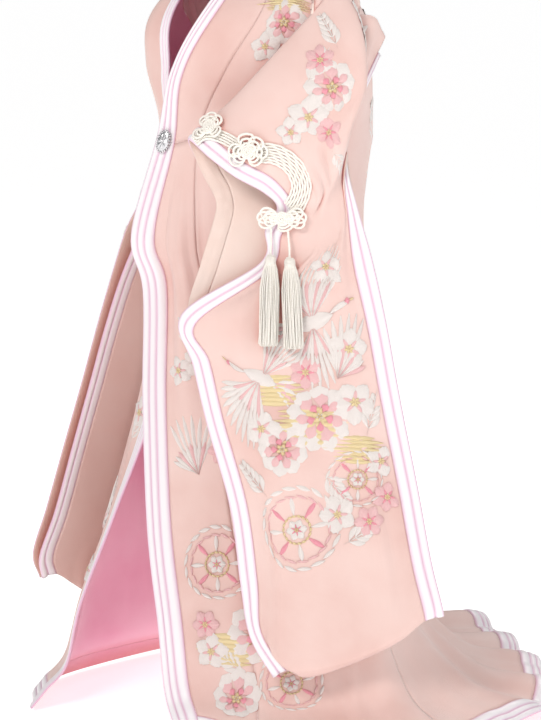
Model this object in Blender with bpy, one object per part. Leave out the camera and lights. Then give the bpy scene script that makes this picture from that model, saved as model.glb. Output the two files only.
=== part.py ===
"""Uchikake: a Japanese wedding over-kimono, worn open over a figure and clipped at the waist.

Every piece of cloth is a closed wall cut from one of five smooth surfaces: the body, and the two
leaves of each sleeve. Units are metres. +Z is up, the wearer faces -Y and the wearer's left is +X.
The origin is where the shoulders hold the garment, SHOULDER_HEIGHT above the floor.
"""

import math

import bmesh
import bpy
import numpy as np

SHOULDER_HEIGHT = 1.36      # origin above the floor; the tables give heights above the floor
WALL = 0.0024               # outer silk, interlining and lining together
SEAM_GAP = 0.0008           # between two pieces sewn edge to edge
LEAF_SPREAD = 0.0046        # from a sleeve's bottom seam to the outer face of each leaf
EDGE_BAND = 0.045           # padded band down the fronts and round the hem
COLLAR_BAND = 0.024         # the same band where it runs up the collar
COLLAR_STAND = 0.045        # collar height behind the neck
COLLAR_AT_SHOULDER = 0.024  # the same at the sides of the neck
COLLAR_LIFT = 0.0012        # collar above the neckline it is sewn to
COLLAR_STEPS = 8
HEM_ROLLS, SLEEVE_ROLLS = 3, 2
WRIST_BAND = 0.030          # padded band on a sleeve's wrist edge
FURI_BAND = 0.034           # padded band on a sleeve's back edge
BAND_ROLL = 0.0030          # how far the padded rolls stand proud
BAND_BACK = 0.0014          # how far a band swells on its lining side
ARMHOLE_SIDE = 0.5            # levels and lines beside an armhole whose normals are evened out
ARMHOLE_STEP = 0.12            # stretch of cloth that they are evened over, in levels and lines
ARMHOLE_BOW = 0.045         # how far an arm holds each side of the armhole open
SLEEVE_SET = 0.0024         # sleeve head clear of the armhole's edge

ARMPIT = 1.4                # level of the armhole's lower end
CLIP_LEVEL = 3.0            # level where the fronts are clipped together
HEM_LINE = 10.0             # level of the seam above the hem band
HEM = 11.0                  # level of the hem itself

PEACH = (0.871, 0.610, 0.540)
PALE_PEACH = (0.900, 0.690, 0.620)
BAND_WHITE = (0.880, 0.830, 0.880)
IVORY = (0.860, 0.810, 0.740)
SILVER = (0.780, 0.780, 0.780)

# The body's lines from shoulder to hem: x, y and height above the floor at each level. Levels are
# 0 shoulder, 1 chest, 2 armpit, 3 clip, 4 hip, 5 thigh, 6 knee, 7 calf, 8 ankle, 9 turn, 10 hem band.
BODY_LINES = {
    "front_edge_right": [
        (-0.058, -0.004, 1.425), (-0.046, -0.150, 1.270), (-0.026, -0.176, 1.160), (-0.002, -0.190, 1.040),
        (-0.010, -0.205, 0.870), (-0.010, -0.195, 0.770), (-0.014, -0.212, 0.580), (-0.052, -0.282, 0.360),
        (-0.084, -0.334, 0.200), (-0.102, -0.354, 0.088), (-0.120, -0.386, 0.042)],
    "okumi_seam_right": [
        (-0.088, -0.004, 1.392), (-0.110, -0.155, 1.270), (-0.100, -0.182, 1.170), (-0.055, -0.173, 1.040),
        (-0.090, -0.172, 0.870), (-0.095, -0.168, 0.770), (-0.110, -0.185, 0.580), (-0.155, -0.228, 0.360),
        (-0.194, -0.264, 0.200), (-0.214, -0.284, 0.088), (-0.240, -0.311, 0.042)],
    "front_middle_right": [
        (-0.145, -0.002, 1.380), (-0.188, -0.088, 1.270), (-0.184, -0.105, 1.160), (-0.158, -0.110, 1.040),
        (-0.165, -0.108, 0.870), (-0.172, -0.108, 0.770), (-0.195, -0.118, 0.580), (-0.235, -0.138, 0.360),
        (-0.270, -0.150, 0.200), (-0.288, -0.156, 0.088), (-0.322, -0.172, 0.042)],
    "side_right": [
        (-0.205, 0.000, 1.360), (-0.235, 0.015, 1.250), (-0.235, 0.030, 1.130), (-0.218, 0.020, 1.030),
        (-0.210, 0.010, 0.880), (-0.215, 0.010, 0.770), (-0.236, 0.020, 0.580), (-0.265, 0.035, 0.370),
        (-0.290, 0.065, 0.190), (-0.325, 0.095, 0.085), (-0.375, 0.125, 0.040)],
    "back_middle_right": [
        (-0.142, 0.002, 1.383), (-0.170, 0.100, 1.265), (-0.170, 0.125, 1.150), (-0.160, 0.125, 1.050),
        (-0.155, 0.110, 0.910), (-0.165, 0.110, 0.790), (-0.188, 0.130, 0.610), (-0.220, 0.170, 0.410),
        (-0.250, 0.240, 0.200), (-0.272, 0.330, 0.075), (-0.290, 0.430, 0.045)],
    "neck_right": [
        (-0.078, 0.006, 1.397), (-0.085, 0.135, 1.270), (-0.090, 0.165, 1.160), (-0.085, 0.175, 1.060),
        (-0.085, 0.155, 0.930), (-0.090, 0.155, 0.800), (-0.100, 0.180, 0.620), (-0.118, 0.230, 0.420),
        (-0.136, 0.310, 0.200), (-0.148, 0.420, 0.080), (-0.160, 0.540, 0.050)],
    "centre_back": [
        (0.000, 0.100, 1.385), (0.000, 0.150, 1.270), (0.000, 0.185, 1.160), (0.000, 0.200, 1.060),
        (0.000, 0.176, 0.940), (0.000, 0.170, 0.800), (0.000, 0.190, 0.620), (0.000, 0.238, 0.420),
        (0.000, 0.305, 0.200), (0.000, 0.395, 0.070), (0.000, 0.520, 0.038)],
    "neck_left": [
        (0.078, 0.006, 1.397), (0.085, 0.135, 1.270), (0.090, 0.165, 1.160), (0.085, 0.175, 1.060),
        (0.085, 0.155, 0.930), (0.090, 0.155, 0.800), (0.100, 0.180, 0.620), (0.110, 0.200, 0.420),
        (0.128, 0.238, 0.200), (0.168, 0.335, 0.070), (0.212, 0.432, 0.036)],
    "back_middle_left": [
        (0.142, 0.002, 1.383), (0.170, 0.100, 1.265), (0.170, 0.125, 1.150), (0.160, 0.125, 1.050),
        (0.155, 0.110, 0.910), (0.165, 0.110, 0.790), (0.186, 0.116, 0.610), (0.212, 0.130, 0.410),
        (0.250, 0.150, 0.200), (0.325, 0.235, 0.070), (0.400, 0.312, 0.036)],
    "side_left": [
        (0.205, 0.000, 1.360), (0.235, 0.015, 1.250), (0.235, 0.030, 1.130), (0.218, 0.020, 1.030),
        (0.210, 0.010, 0.880), (0.215, 0.005, 0.770), (0.246, 0.010, 0.580), (0.290, 0.020, 0.370),
        (0.335, 0.040, 0.190), (0.392, 0.058, 0.080), (0.455, 0.078, 0.040)],
    "front_middle_left": [
        (0.145, -0.002, 1.380), (0.185, -0.060, 1.270), (0.180, -0.080, 1.160), (0.150, -0.100, 1.040),
        (0.156, -0.109, 0.870), (0.170, -0.106, 0.770), (0.215, -0.099, 0.580), (0.276, -0.078, 0.360),
        (0.322, -0.060, 0.200), (0.348, -0.059, 0.088), (0.390, -0.066, 0.039)],
    "okumi_seam_left": [
        (0.088, -0.004, 1.392), (0.150, -0.090, 1.270), (0.115, -0.145, 1.160), (0.060, -0.168, 1.040),
        (0.079, -0.185, 0.870), (0.091, -0.175, 0.770), (0.131, -0.177, 0.580), (0.195, -0.180, 0.360),
        (0.244, -0.176, 0.200), (0.262, -0.177, 0.086), (0.302, -0.193, 0.038)],
    "front_edge_left": [
        (0.058, -0.004, 1.425), (0.068, -0.156, 1.270), (0.030, -0.205, 1.160), (-0.005, -0.215, 1.040),
        (-0.028, -0.255, 0.870), (-0.012, -0.241, 0.770), (0.022, -0.262, 0.580), (0.078, -0.286, 0.360),
        (0.124, -0.292, 0.200), (0.148, -0.293, 0.086), (0.189, -0.300, 0.038)],
}
BODY_ORDER = list(BODY_LINES)
BAND_WIDTHS = [COLLAR_BAND, COLLAR_BAND, COLLAR_BAND, 0.036] + [EDGE_BAND] * 7    # front bands, by level

# Folds in the body: where round the body (in lines), first and last level, width in lines, height.
BODY_FOLDS = [
    (1.4, 4.2, 9.5, 0.50, -0.008), (2.6, 5.0, 10.0, 0.55, 0.009), (4.5, 4.5, 11.5, 0.50, 0.010),
    (5.4, 5.5, 14.0, 0.42, 0.020), (6.3, 6.5, 14.0, 0.40, 0.026), (7.1, 7.0, 14.0, 0.38, 0.024),
    (7.8, 6.5, 14.0, 0.36, 0.028), (8.5, 7.0, 14.0, 0.38, 0.024), (9.3, 6.0, 14.0, 0.40, 0.022),
    (10.3, 5.0, 12.0, 0.50, 0.014), (11.6, 3.2, 8.5, 0.45, -0.009), (12.5, 3.4, 7.2, 0.34, 0.010),
    (12.9, 3.2, 6.4, 0.30, -0.011), (6.5, 1.2, 3.4, 0.60, -0.006), (8.5, 1.2, 3.4, 0.60, -0.006),
]

# A sleeve's leaves, from the fold over the arm (row 0) to the bottom seam. Each row runs from the
# wrist edge to the back edge. Numbers are: along the sleeve, out from the body, height above floor.
LEFT_FOLD = [(-0.125, 0.245, 1.045), (-0.056, 0.245, 1.108), (0.010, 0.240, 1.178), (0.110, 0.216, 1.288)]
LEFT_OUTER = [
    [(-0.092, 0.272, 1.018), (-0.030, 0.283, 1.060), (0.045, 0.285, 1.120), (0.160, 0.262, 1.225)],
    [(-0.046, 0.283, 0.984), (0.022, 0.293, 1.022), (0.090, 0.298, 1.070), (0.176, 0.276, 1.155)],
    [(0.004, 0.280, 0.956), (0.062, 0.292, 0.990), (0.102, 0.297, 1.025), (0.150, 0.284, 1.085),
     (0.214, 0.179, 1.218)],
    [(0.026, 0.274, 0.930), (0.088, 0.284, 0.946), (0.116, 0.284, 0.974), (0.138, 0.268, 1.016),
     (0.150, 0.228, 1.065)],
    [(0.006, 0.268, 0.893), (0.072, 0.275, 0.901), (0.104, 0.275, 0.924), (0.132, 0.264, 0.962),
     (0.147, 0.246, 1.000)],
    [(-0.002, 0.266, 0.836), (0.056, 0.272, 0.834), (0.096, 0.274, 0.860), (0.134, 0.268, 0.894),
     (0.166, 0.260, 0.925)],
    [(-0.137, 0.270, 0.748), (-0.048, 0.281, 0.752), (0.030, 0.286, 0.774), (0.112, 0.283, 0.808),
     (0.190, 0.273, 0.842)],
    [(-0.118, 0.279, 0.660), (-0.038, 0.288, 0.665), (0.045, 0.293, 0.680), (0.130, 0.291, 0.702),
     (0.215, 0.281, 0.730)],
    [(-0.094, 0.296, 0.560), (-0.010, 0.306, 0.560), (0.070, 0.311, 0.568), (0.150, 0.307, 0.584),
     (0.238, 0.296, 0.605)],
    [(-0.054, 0.325, 0.420), (0.020, 0.335, 0.410), (0.095, 0.340, 0.415), (0.178, 0.336, 0.430),
     (0.268, 0.325, 0.455)],
    [(-0.036, 0.352, 0.290), (0.040, 0.364, 0.272), (0.120, 0.368, 0.280), (0.202, 0.364, 0.302),
     (0.290, 0.352, 0.335)],
    [(-0.020, 0.372, 0.205), (0.040, 0.384, 0.165), (0.130, 0.388, 0.176), (0.215, 0.383, 0.210),
     (0.308, 0.370, 0.262)],
]
LEFT_INNER = [
    [(-0.114, 0.225, 1.012), (-0.045, 0.222, 1.058), (0.020, 0.220, 1.112), (0.102, 0.239, 1.204)],
    [(-0.098, 0.222, 0.978), (-0.020, 0.222, 1.014), (0.042, 0.223, 1.056), (0.098, 0.232, 1.128)],
    [(-0.082, 0.222, 0.948), (-0.005, 0.223, 0.974), (0.058, 0.225, 1.006), (0.108, 0.224, 1.062),
     (0.150, 0.206, 1.140)],
    [(-0.078, 0.223, 0.925), (0.000, 0.225, 0.942), (0.065, 0.229, 0.965), (0.115, 0.227, 1.002),
     (0.146, 0.214, 1.044)],
    [(-0.090, 0.225, 0.880), (-0.005, 0.228, 0.895), (0.065, 0.232, 0.918), (0.120, 0.231, 0.950),
     (0.152, 0.224, 0.985)],
    [(-0.105, 0.229, 0.830), (-0.015, 0.234, 0.840), (0.060, 0.238, 0.860), (0.120, 0.238, 0.888),
     (0.166, 0.232, 0.920)],
    [(-0.128, 0.236, 0.745), (-0.045, 0.244, 0.755), (0.035, 0.249, 0.775), (0.110, 0.249, 0.805),
     (0.186, 0.242, 0.842)],
    [(-0.110, 0.251, 0.660), (-0.030, 0.259, 0.665), (0.050, 0.263, 0.680), (0.130, 0.261, 0.702),
     (0.210, 0.253, 0.730)],
    [(-0.084, 0.270, 0.560), (-0.005, 0.279, 0.560), (0.075, 0.282, 0.568), (0.150, 0.279, 0.584),
     (0.232, 0.269, 0.605)],
    [(-0.045, 0.299, 0.420), (0.024, 0.308, 0.410), (0.098, 0.311, 0.415), (0.178, 0.308, 0.430),
     (0.262, 0.299, 0.455)],
    [(-0.028, 0.326, 0.290), (0.043, 0.337, 0.272), (0.122, 0.340, 0.280), (0.202, 0.337, 0.302),
     (0.285, 0.326, 0.335)],
    [(-0.014, 0.352, 0.205), (0.043, 0.362, 0.165), (0.130, 0.365, 0.176), (0.215, 0.361, 0.210),
     (0.304, 0.350, 0.262)],
]
LEFT_BOTTOM = [(0.020, 0.370, 0.134), (0.080, 0.376, 0.136), (0.155, 0.378, 0.160), (0.235, 0.374, 0.198),
               (0.312, 0.362, 0.240)]

RIGHT_FOLD = [(-0.045, 0.275, 1.030), (0.000, 0.276, 1.080), (0.035, 0.270, 1.150), (0.032, 0.245, 1.255)]
RIGHT_OUTER = [
    [(-0.050, 0.300, 0.990), (0.010, 0.314, 1.030), (0.060, 0.316, 1.090), (0.072, 0.290, 1.190)],
    [(-0.065, 0.304, 0.945), (0.010, 0.322, 0.972), (0.075, 0.324, 1.020), (0.105, 0.320, 1.115)],
    [(-0.085, 0.302, 0.900), (0.000, 0.316, 0.915), (0.072, 0.320, 0.950), (0.114, 0.320, 1.030),
     (0.096, 0.280, 1.115)],
    [(-0.115, 0.300, 0.850), (-0.022, 0.312, 0.852), (0.045, 0.317, 0.870), (0.082, 0.312, 0.905),
     (0.122, 0.302, 0.985)],
    [(-0.145, 0.300, 0.770), (-0.045, 0.312, 0.768), (0.032, 0.318, 0.778), (0.095, 0.312, 0.805),
     (0.140, 0.296, 0.845)],
    [(-0.174, 0.306, 0.675), (-0.070, 0.318, 0.662), (0.010, 0.324, 0.662), (0.080, 0.320, 0.678),
     (0.136, 0.306, 0.705)],
    [(-0.206, 0.312, 0.565), (-0.098, 0.326, 0.542), (-0.018, 0.332, 0.538), (0.055, 0.328, 0.548),
     (0.118, 0.314, 0.570)],
    [(-0.240, 0.320, 0.450), (-0.130, 0.336, 0.416), (-0.050, 0.341, 0.406), (0.022, 0.337, 0.412),
     (0.090, 0.324, 0.430)],
    [(-0.275, 0.328, 0.330), (-0.162, 0.346, 0.286), (-0.082, 0.351, 0.272), (-0.012, 0.347, 0.274),
     (0.058, 0.334, 0.288)],
    [(-0.300, 0.336, 0.245), (-0.180, 0.353, 0.196), (-0.098, 0.357, 0.180), (-0.028, 0.353, 0.178),
     (0.038, 0.340, 0.190)],
]
RIGHT_BOTTOM = [(-0.285, 0.333, 0.196), (-0.185, 0.340, 0.158), (-0.102, 0.342, 0.140), (-0.032, 0.340, 0.128),
                (0.022, 0.334, 0.122)]
# Between the right leaves, by row: gap at the wrist, gap at the back, how far short the back end is.
RIGHT_GAPS = [
    (0.072, 0.026, 0.000), (0.088, 0.044, 0.004), (0.082, 0.038, 0.034), (0.060, 0.036, 0.020), (0.040, 0.020, 0.000),
    (0.034, 0.016, 0.000), (0.034, 0.014, 0.000), (0.036, 0.014, 0.000), (0.038, 0.015, 0.000), (0.030, 0.012, 0.000),
]

WRIST_SEAM, BACK_SEAM = 1.0, 5.0
BACK_EDGE = 6.0
ARMHOLE_ROWS = 3             # rows of a leaf down to the armpit
HEAD_ROWS = 2                # of these, the rows sewn to the armhole's edge
LEVELS_A_ROW = 0.5           # body levels between two of them
BAND_ROWS = {"left": 3.0, "right": 4.5}    # rows from the fold down to where a back band tapers to nothing
BAND_START = 0.25            # rows below that where its cloth starts
SHOULDER_TURN = 0.2          # levels over which the wall turns on top of the shoulder
BAND_SHARE = 0.5             # most of the room beside an edge that its band may take
HEAD_TURN = 0.3              # columns over which a sleeve's wall turns to the armhole's edge
FINE_ROWS = 8                # rows from the fold with a half-way line between them

# Folds in the sleeves: column, first and last row, width in columns, height.
LEFT_SLEEVE_FOLDS = [
    (2.2, 6.0, 10.5, 0.50, 0.006), (3.4, 7.0, 12.5, 0.55, -0.006), (1.6, 9.5, 13.5, 0.40, 0.004),
    (4.4, 4.6, 9.0, 0.40, 0.005), (3.6, 2.2, 4.6, 0.50, 0.008), (2.6, 3.2, 5.6, 0.45, -0.006),
]
RIGHT_SLEEVE_FOLDS = [
    (2.4, 4.0, 9.5, 0.50, 0.006), (3.7, 5.0, 10.5, 0.55, -0.006), (3.0, 1.5, 4.0, 0.50, 0.007),
]

# Cord trim on each cuff: centres and routes along the sleeve and in height, as in the leaf tables.
# A knot also has its half width, half height and number of loops.
CUFFS = {
    "left": {
        "knots": [(-0.084, 1.060, 0.031, 0.028, 5), (-0.022, 1.026, 0.034, 0.030, 6),
                  (0.036, 0.914, 0.040, 0.024, 6)],
        "braid": [(0.020, 1.024), (0.042, 1.014), (0.060, 0.995), (0.068, 0.972), (0.064, 0.950)],
        "tassels": [(0.018, 0.842), (0.050, 0.838)],
    },
    "right": {
        "knots": [(-0.016, 1.020, 0.031, 0.028, 5), (0.000, 0.955, 0.034, 0.030, 6),
                  (-0.070, 0.838, 0.040, 0.024, 6)],
        "braid": [(0.008, 0.914), (0.000, 0.902), (-0.010, 0.890), (-0.018, 0.880), (-0.026, 0.868)],
        "tassels": [(-0.088, 0.770), (-0.056, 0.768)],
    },
}
KNOT_THICKNESS = 0.008
KNOT_LOBE = 0.16             # how far the loops stand out, as a share of the radius
KNOT_RINGS = [(1.0, 0.0), (1.0, 0.6), (0.7, 1.0)]    # reach and height, as shares
BRAID_WIDTH = 0.032
BRAID_THICKNESS = 0.004
TRIM_GAP = 0.0012            # cord trim above the cloth it is sewn to
BRAID_STEPS = 12
BRAID_SECTION = [(-0.5, 0.6), (-0.2, 1.0), (0.2, 1.0), (0.5, 0.6)]    # place across, height, as shares
TASSEL_LENGTH = 0.150
TASSEL_RADIUS = 0.011
TASSEL_SEGMENTS = 12
TASSEL_HEAD = 0.016
TASSEL_CORD = 0.036          # cord between knot and tassel
TASSEL_TAPER = 0.80
TASSEL_STAGES = [(1.12, 0.10), (1.35, 0.80)]    # spread, and fall as a share of the length
TASSEL_STAND = 0.021         # tassel's centre line out from the cloth

CLIP_WIDTH, CLIP_HEIGHT, CLIP_THICKNESS = 0.028, 0.042, 0.008
CLIP_TILT = -20              # degrees, top towards the wearer's left


# ---------------------------------------------------------------- smooth surfaces

def blend_weights(position, count):
    """First control row and the four Catmull-Rom weights for positions 0 to count - 1."""
    first = np.clip(np.floor(position).astype(int), 0, count - 2)
    f = position - first
    weights = [(-f + 2 * f**2 - f**3) / 2, (2 - 5 * f**2 + 3 * f**3) / 2,
               (f + 4 * f**2 - 3 * f**3) / 2, (-f**2 + f**3) / 2]
    return first, weights


def padded(grid):
    """The grid with one straight-on row and column added at each end."""
    rows = np.concatenate([2 * grid[:1] - grid[1:2], grid, 2 * grid[-1:] - grid[-2:-1]])
    first = 2 * rows[:, :1] - rows[:, 1:2]
    last = 2 * rows[:, -1:] - rows[:, -2:-1]
    return np.concatenate([first, rows, last], axis=1)


class Surface:
    """A smooth sheet through a grid of points, with folds raised along its normals."""

    def __init__(self, grid, folds, facing):
        self.rows, self.columns = grid.shape[:2]
        self.grid = padded(grid)
        self.folds = folds
        self.facing = facing        # 1 or -1: which way the outer face looks

    def plain_point(self, row, column):
        first_row, row_weights = blend_weights(row, self.rows)
        first_column, column_weights = blend_weights(column, self.columns)
        total = 0.0
        for a in range(4):
            for b in range(4):
                weight = row_weights[a] * column_weights[b]
                total = total + weight[..., None] * self.grid[first_row + a, first_column + b]
        return total

    def bow(self, row, column, span):
        """Extra movement of the sheet; a plain sheet has none."""
        return 0.0

    def normal_of(self, point, row, column, span, step=1e-3):
        low, high = np.maximum(column - step, span[0]), np.minimum(column + step, span[1])
        up, down = np.maximum(row - step, 0.0), np.minimum(row + step, self.rows - 1.0)
        across = point(row, high) - point(row, low)
        along = point(down, column) - point(up, column)
        normal = self.facing * np.cross(across, along)
        return normal / np.linalg.norm(normal, axis=-1, keepdims=True)

    def lift(self, row, column):
        total = np.zeros_like(row)
        for place, start, end, width, height in self.folds:
            across = np.clip(1 - ((column - place) / width) ** 2, 0, 1) ** 2
            along = np.clip((row - start) / (end - start), 0, 1)
            total = total + height * across * np.sin(math.pi * along) ** 2
        return total

    def folded_point(self, row, column, span):
        def point(r, c):
            return self.plain_point(r, c) + self.bow(r, c, span)
        normal = self.normal_of(point, row, column, span)
        return point(row, column) + self.lift(row, column)[..., None] * normal

    def at(self, row, column, span):
        """Points and outward normals; span is the stretch of columns that the piece lies in."""
        row, column = np.broadcast_arrays(np.asarray(row, float), np.asarray(column, float))

        def point(r, c):
            return self.folded_point(r, c, span)
        return point(row, column), self.normal_of(point, row, column, span)


class Body(Surface):
    """The body cloth, with each armhole held open."""

    def bow(self, row, column, span):
        middle = (span[0] + span[1]) / 2
        backwards = 1 if SIDE_RIGHT < middle < SIDE_LEFT else -1
        nearest = np.minimum(np.abs(column - SIDE_RIGHT), np.abs(column - SIDE_LEFT))
        across = np.clip(1 - nearest, 0, 1) ** 2
        along = np.sin(math.pi * np.clip(row / ARMPIT, 0, 1))
        amount = backwards * ARMHOLE_BOW * across * along
        return np.stack([np.zeros_like(amount), amount, np.zeros_like(amount)], axis=-1)

    def normal_of(self, point, row, column, span):
        """Square to the shoulder line on top of the shoulder, where front and back meet."""
        nearest = np.minimum(np.abs(column - SIDE_RIGHT), np.abs(column - SIDE_LEFT))
        beside = np.clip(1 - nearest / ARMHOLE_SIDE, 0, 1) * np.clip((ARMPIT - row) / ARMHOLE_SIDE, 0, 1)
        step = 1e-3 + ARMHOLE_STEP * beside
        normal = super().normal_of(point, row, column, span, step)
        low, high = np.maximum(column - 1e-3, span[0]), np.minimum(column + 1e-3, span[1])
        across = point(row, high) - point(row, low)
        upright = self.facing * np.cross(across, (0, 1, 0))
        upright *= np.sign(upright[..., 2:]) / np.linalg.norm(upright, axis=-1, keepdims=True)
        beside_neck = (column <= NECK_RIGHT) | (column >= NECK_LEFT)
        on_top = np.where(beside_neck, np.clip(1 - row / SHOULDER_TURN, 0, 1), 0)[..., None]
        normal = (1 - on_top) * normal + on_top * upright
        return normal / np.linalg.norm(normal, axis=-1, keepdims=True)


class Sleeve(Surface):
    """Both leaves of a sleeve as one sheet, its head sewn round the body's armhole."""

    def __init__(self, grid, folds, facing, body, side):
        super().__init__(grid, folds, facing)
        self.middle = (self.rows - 1) // 2
        self.levels = np.linspace(0, HEAD_ROWS * LEVELS_A_ROW, 9)
        self.edges = [self.sewn_edge(body, side, span) for span in armhole_spans(side)]

    def sewn_edge(self, body, side, span):
        """Points just clear of one side of the armhole, and the body's normals there."""
        inside = span[0] if span[1] == side else span[1]
        edge, normal = body.at(self.levels, side, span)
        out = edge - body.at(self.levels, side + 0.1 * (inside - side), span)[0]
        out /= np.linalg.norm(out, axis=-1, keepdims=True)
        return np.concatenate([edge + SLEEVE_SET * out, normal], axis=1)

    def armhole(self, row):
        """The sewn edge's points, the body's normals there, and how far each row is sewn."""
        down = np.abs(row - self.middle)
        level = np.minimum(down, HEAD_ROWS) * LEVELS_A_ROW
        behind, before = [np.stack([np.interp(level, self.levels, line) for line in edge.T], axis=-1)
                          for edge in self.edges]
        values = np.where((row >= self.middle)[..., None], behind, before)
        return values[..., :3], values[..., 3:], np.clip(ARMHOLE_ROWS - down, 0, 1)

    def bow(self, row, column, span):
        """Draws the last columns on to the armhole's edge."""
        edge = self.plain_point(row, np.full_like(row, BACK_EDGE))
        points, _, sewn = self.armhole(row)
        near = np.clip((column - BACK_SEAM) / (BACK_EDGE - BACK_SEAM), 0, 1) ** 2
        return (near * sewn)[..., None] * (points - edge)

    def normal_of(self, point, row, column, span):
        """The body's own normals along the sewn edge, so that the two edges lie face to face."""
        normal = super().normal_of(point, row, column, span)
        _, edge_normals, _ = self.armhole(row)
        sewn = np.abs(row - self.middle) <= HEAD_ROWS
        near = np.where(sewn, np.clip(1 - (BACK_EDGE - column) / HEAD_TURN, 0, 1), 0)[..., None]
        normal = (1 - near) * normal + near * edge_normals
        return normal / np.linalg.norm(normal, axis=-1, keepdims=True)


def from_shoulder(points):
    """Table points, with heights above the floor, moved to the part's own origin."""
    return np.array(points, float) - (0, 0, SHOULDER_HEIGHT)


def band_line(edge, inside, width):
    """The seam of an edge band: width from the edge, square to it, towards the inside line."""
    along = np.gradient(edge, axis=0)
    along /= np.linalg.norm(along, axis=1, keepdims=True)
    inward = inside - edge
    inward = inward - (inward * along).sum(1, keepdims=True) * along
    room = np.linalg.norm(inward, axis=1, keepdims=True)
    return edge + inward / room * np.minimum(np.reshape(width, (-1, 1)), BAND_SHARE * room)


# Places round the body, as columns of its grid.
FRONT_EDGE_RIGHT, BAND_RIGHT, OKUMI_RIGHT, SIDE_RIGHT, NECK_RIGHT = 0, 1, 2, 4, 6
CENTRE_BACK = 7
NECK_LEFT, SIDE_LEFT, OKUMI_LEFT, BAND_LEFT, FRONT_EDGE_LEFT = 8, 10, 12, 13, 14


def make_body():
    grid = np.stack([from_shoulder(BODY_LINES[name]) for name in BODY_ORDER], axis=1)
    last = grid[-1] - grid[-2]
    hem = grid[-1] + EDGE_BAND * last / np.linalg.norm(last, axis=1, keepdims=True)
    grid = np.concatenate([grid, hem[None]])
    widths = BAND_WIDTHS + [EDGE_BAND]
    right_seam = band_line(grid[:, 0], grid[:, 1], widths)
    left_seam = band_line(grid[:, -1], grid[:, -2], widths)
    grid = np.concatenate([grid[:, :1], right_seam[:, None], grid[:, 1:-1], left_seam[:, None], grid[:, -1:]], axis=1)
    return Body(grid, BODY_FOLDS, facing=1)


LEFT_TURN = math.radians(32)     # the left arm comes forward, so its sleeve hangs in a turned plane


def left_place(along, out, height):
    return (out * math.cos(LEFT_TURN) + along * math.sin(LEFT_TURN),
            along * math.cos(LEFT_TURN) - out * math.sin(LEFT_TURN), height)


def right_place(along, out, height):
    return -out, along, height


def inner_rows(outer, gaps):
    """The leaf on the body's side, each row set in from the outer one by its gap."""
    rows = []
    for row, (at_wrist, at_back, short) in zip(outer, gaps):
        places = np.linspace(0, 1, 5)
        rows.append([(a - short * k**2, w - at_wrist + (at_wrist - at_back) * k, h)
                     for (a, w, h), k in zip(row, places)])
    return rows


def armhole_spans(side):
    """Columns of the body behind and in front of an armhole."""
    if side == SIDE_LEFT:
        return (side - 1, side), (side, side + 1)
    return (side, side + 1), (side - 1, side)


def make_sleeve(body, place, fold, outer, inner, bottom, folds, side, facing):
    """Both leaves as one sheet: up the front leaf, over the arm and down the back one."""
    def row_points(row, number, span):
        points = [from_shoulder(place(*p)) for p in row]
        if number <= HEAD_ROWS:
            points.append(body.at(number * LEVELS_A_ROW, side, span)[0])
        return points

    def leaf(rows, span):
        return [row_points(row, number, span) for number, row in enumerate(rows, 1)]

    behind, before = armhole_spans(side)
    last = len(outer) + 1
    top = row_points(fold, 0, behind)
    low_outer = row_points([(a, w + LEAF_SPREAD, h) for a, w, h in bottom], last, behind)
    low_inner = row_points([(a, w - LEAF_SPREAD, h) for a, w, h in bottom], last, before)
    grid = np.array([low_inner] + leaf(inner, before)[::-1] + [top] + leaf(outer, behind) + [low_outer])
    wrist = band_line(grid[:, 0], grid[:, 1], [WRIST_BAND] * len(grid))
    back = band_line(grid[:, -1], grid[:, -2], [FURI_BAND] * len(grid))
    grid = np.concatenate([grid[:, :1], wrist[:, None], grid[:, 1:-1], back[:, None], grid[:, -1:]], axis=1)
    both = [(c, last + a, last + b, w, h) for c, a, b, w, h in folds]
    both += [(c, last - b, last - a, w, -h) for c, a, b, w, h in folds]
    return Sleeve(grid, both, facing, body, side)


# ---------------------------------------------------------------- solids

def material(name, colour, roughness, metallic=0.0):
    made = bpy.data.materials.new(name)
    made.use_nodes = True
    shader = made.node_tree.nodes["Principled BSDF"]
    shader.inputs["Base Color"].default_value = (*colour, 1)
    shader.inputs["Roughness"].default_value = roughness
    shader.inputs["Metallic"].default_value = metallic
    return made


def add_object(name, mesh, finish, collection):
    mesh.materials.append(finish)
    piece = bpy.data.objects.new(name, mesh)
    collection.objects.link(piece)
    return piece


def pulled_in(points, distance, sides):
    """The grid with its named sides drawn in along the cloth: top, bottom, left or right."""
    points = points.copy()
    for side in sides:
        line, inside = {"top": (np.s_[0], np.s_[1]), "bottom": (np.s_[-1], np.s_[-2]),
                        "left": (np.s_[:, 0], np.s_[:, 1]), "right": (np.s_[:, -1], np.s_[:, -2])}[side]
        step = points[inside] - points[line]
        length = np.linalg.norm(step, axis=-1, keepdims=True)
        points[line] += step / length * np.minimum(distance, 0.4 * length)
    return points


ALL_SIDES = ("top", "bottom", "left", "right")


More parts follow.
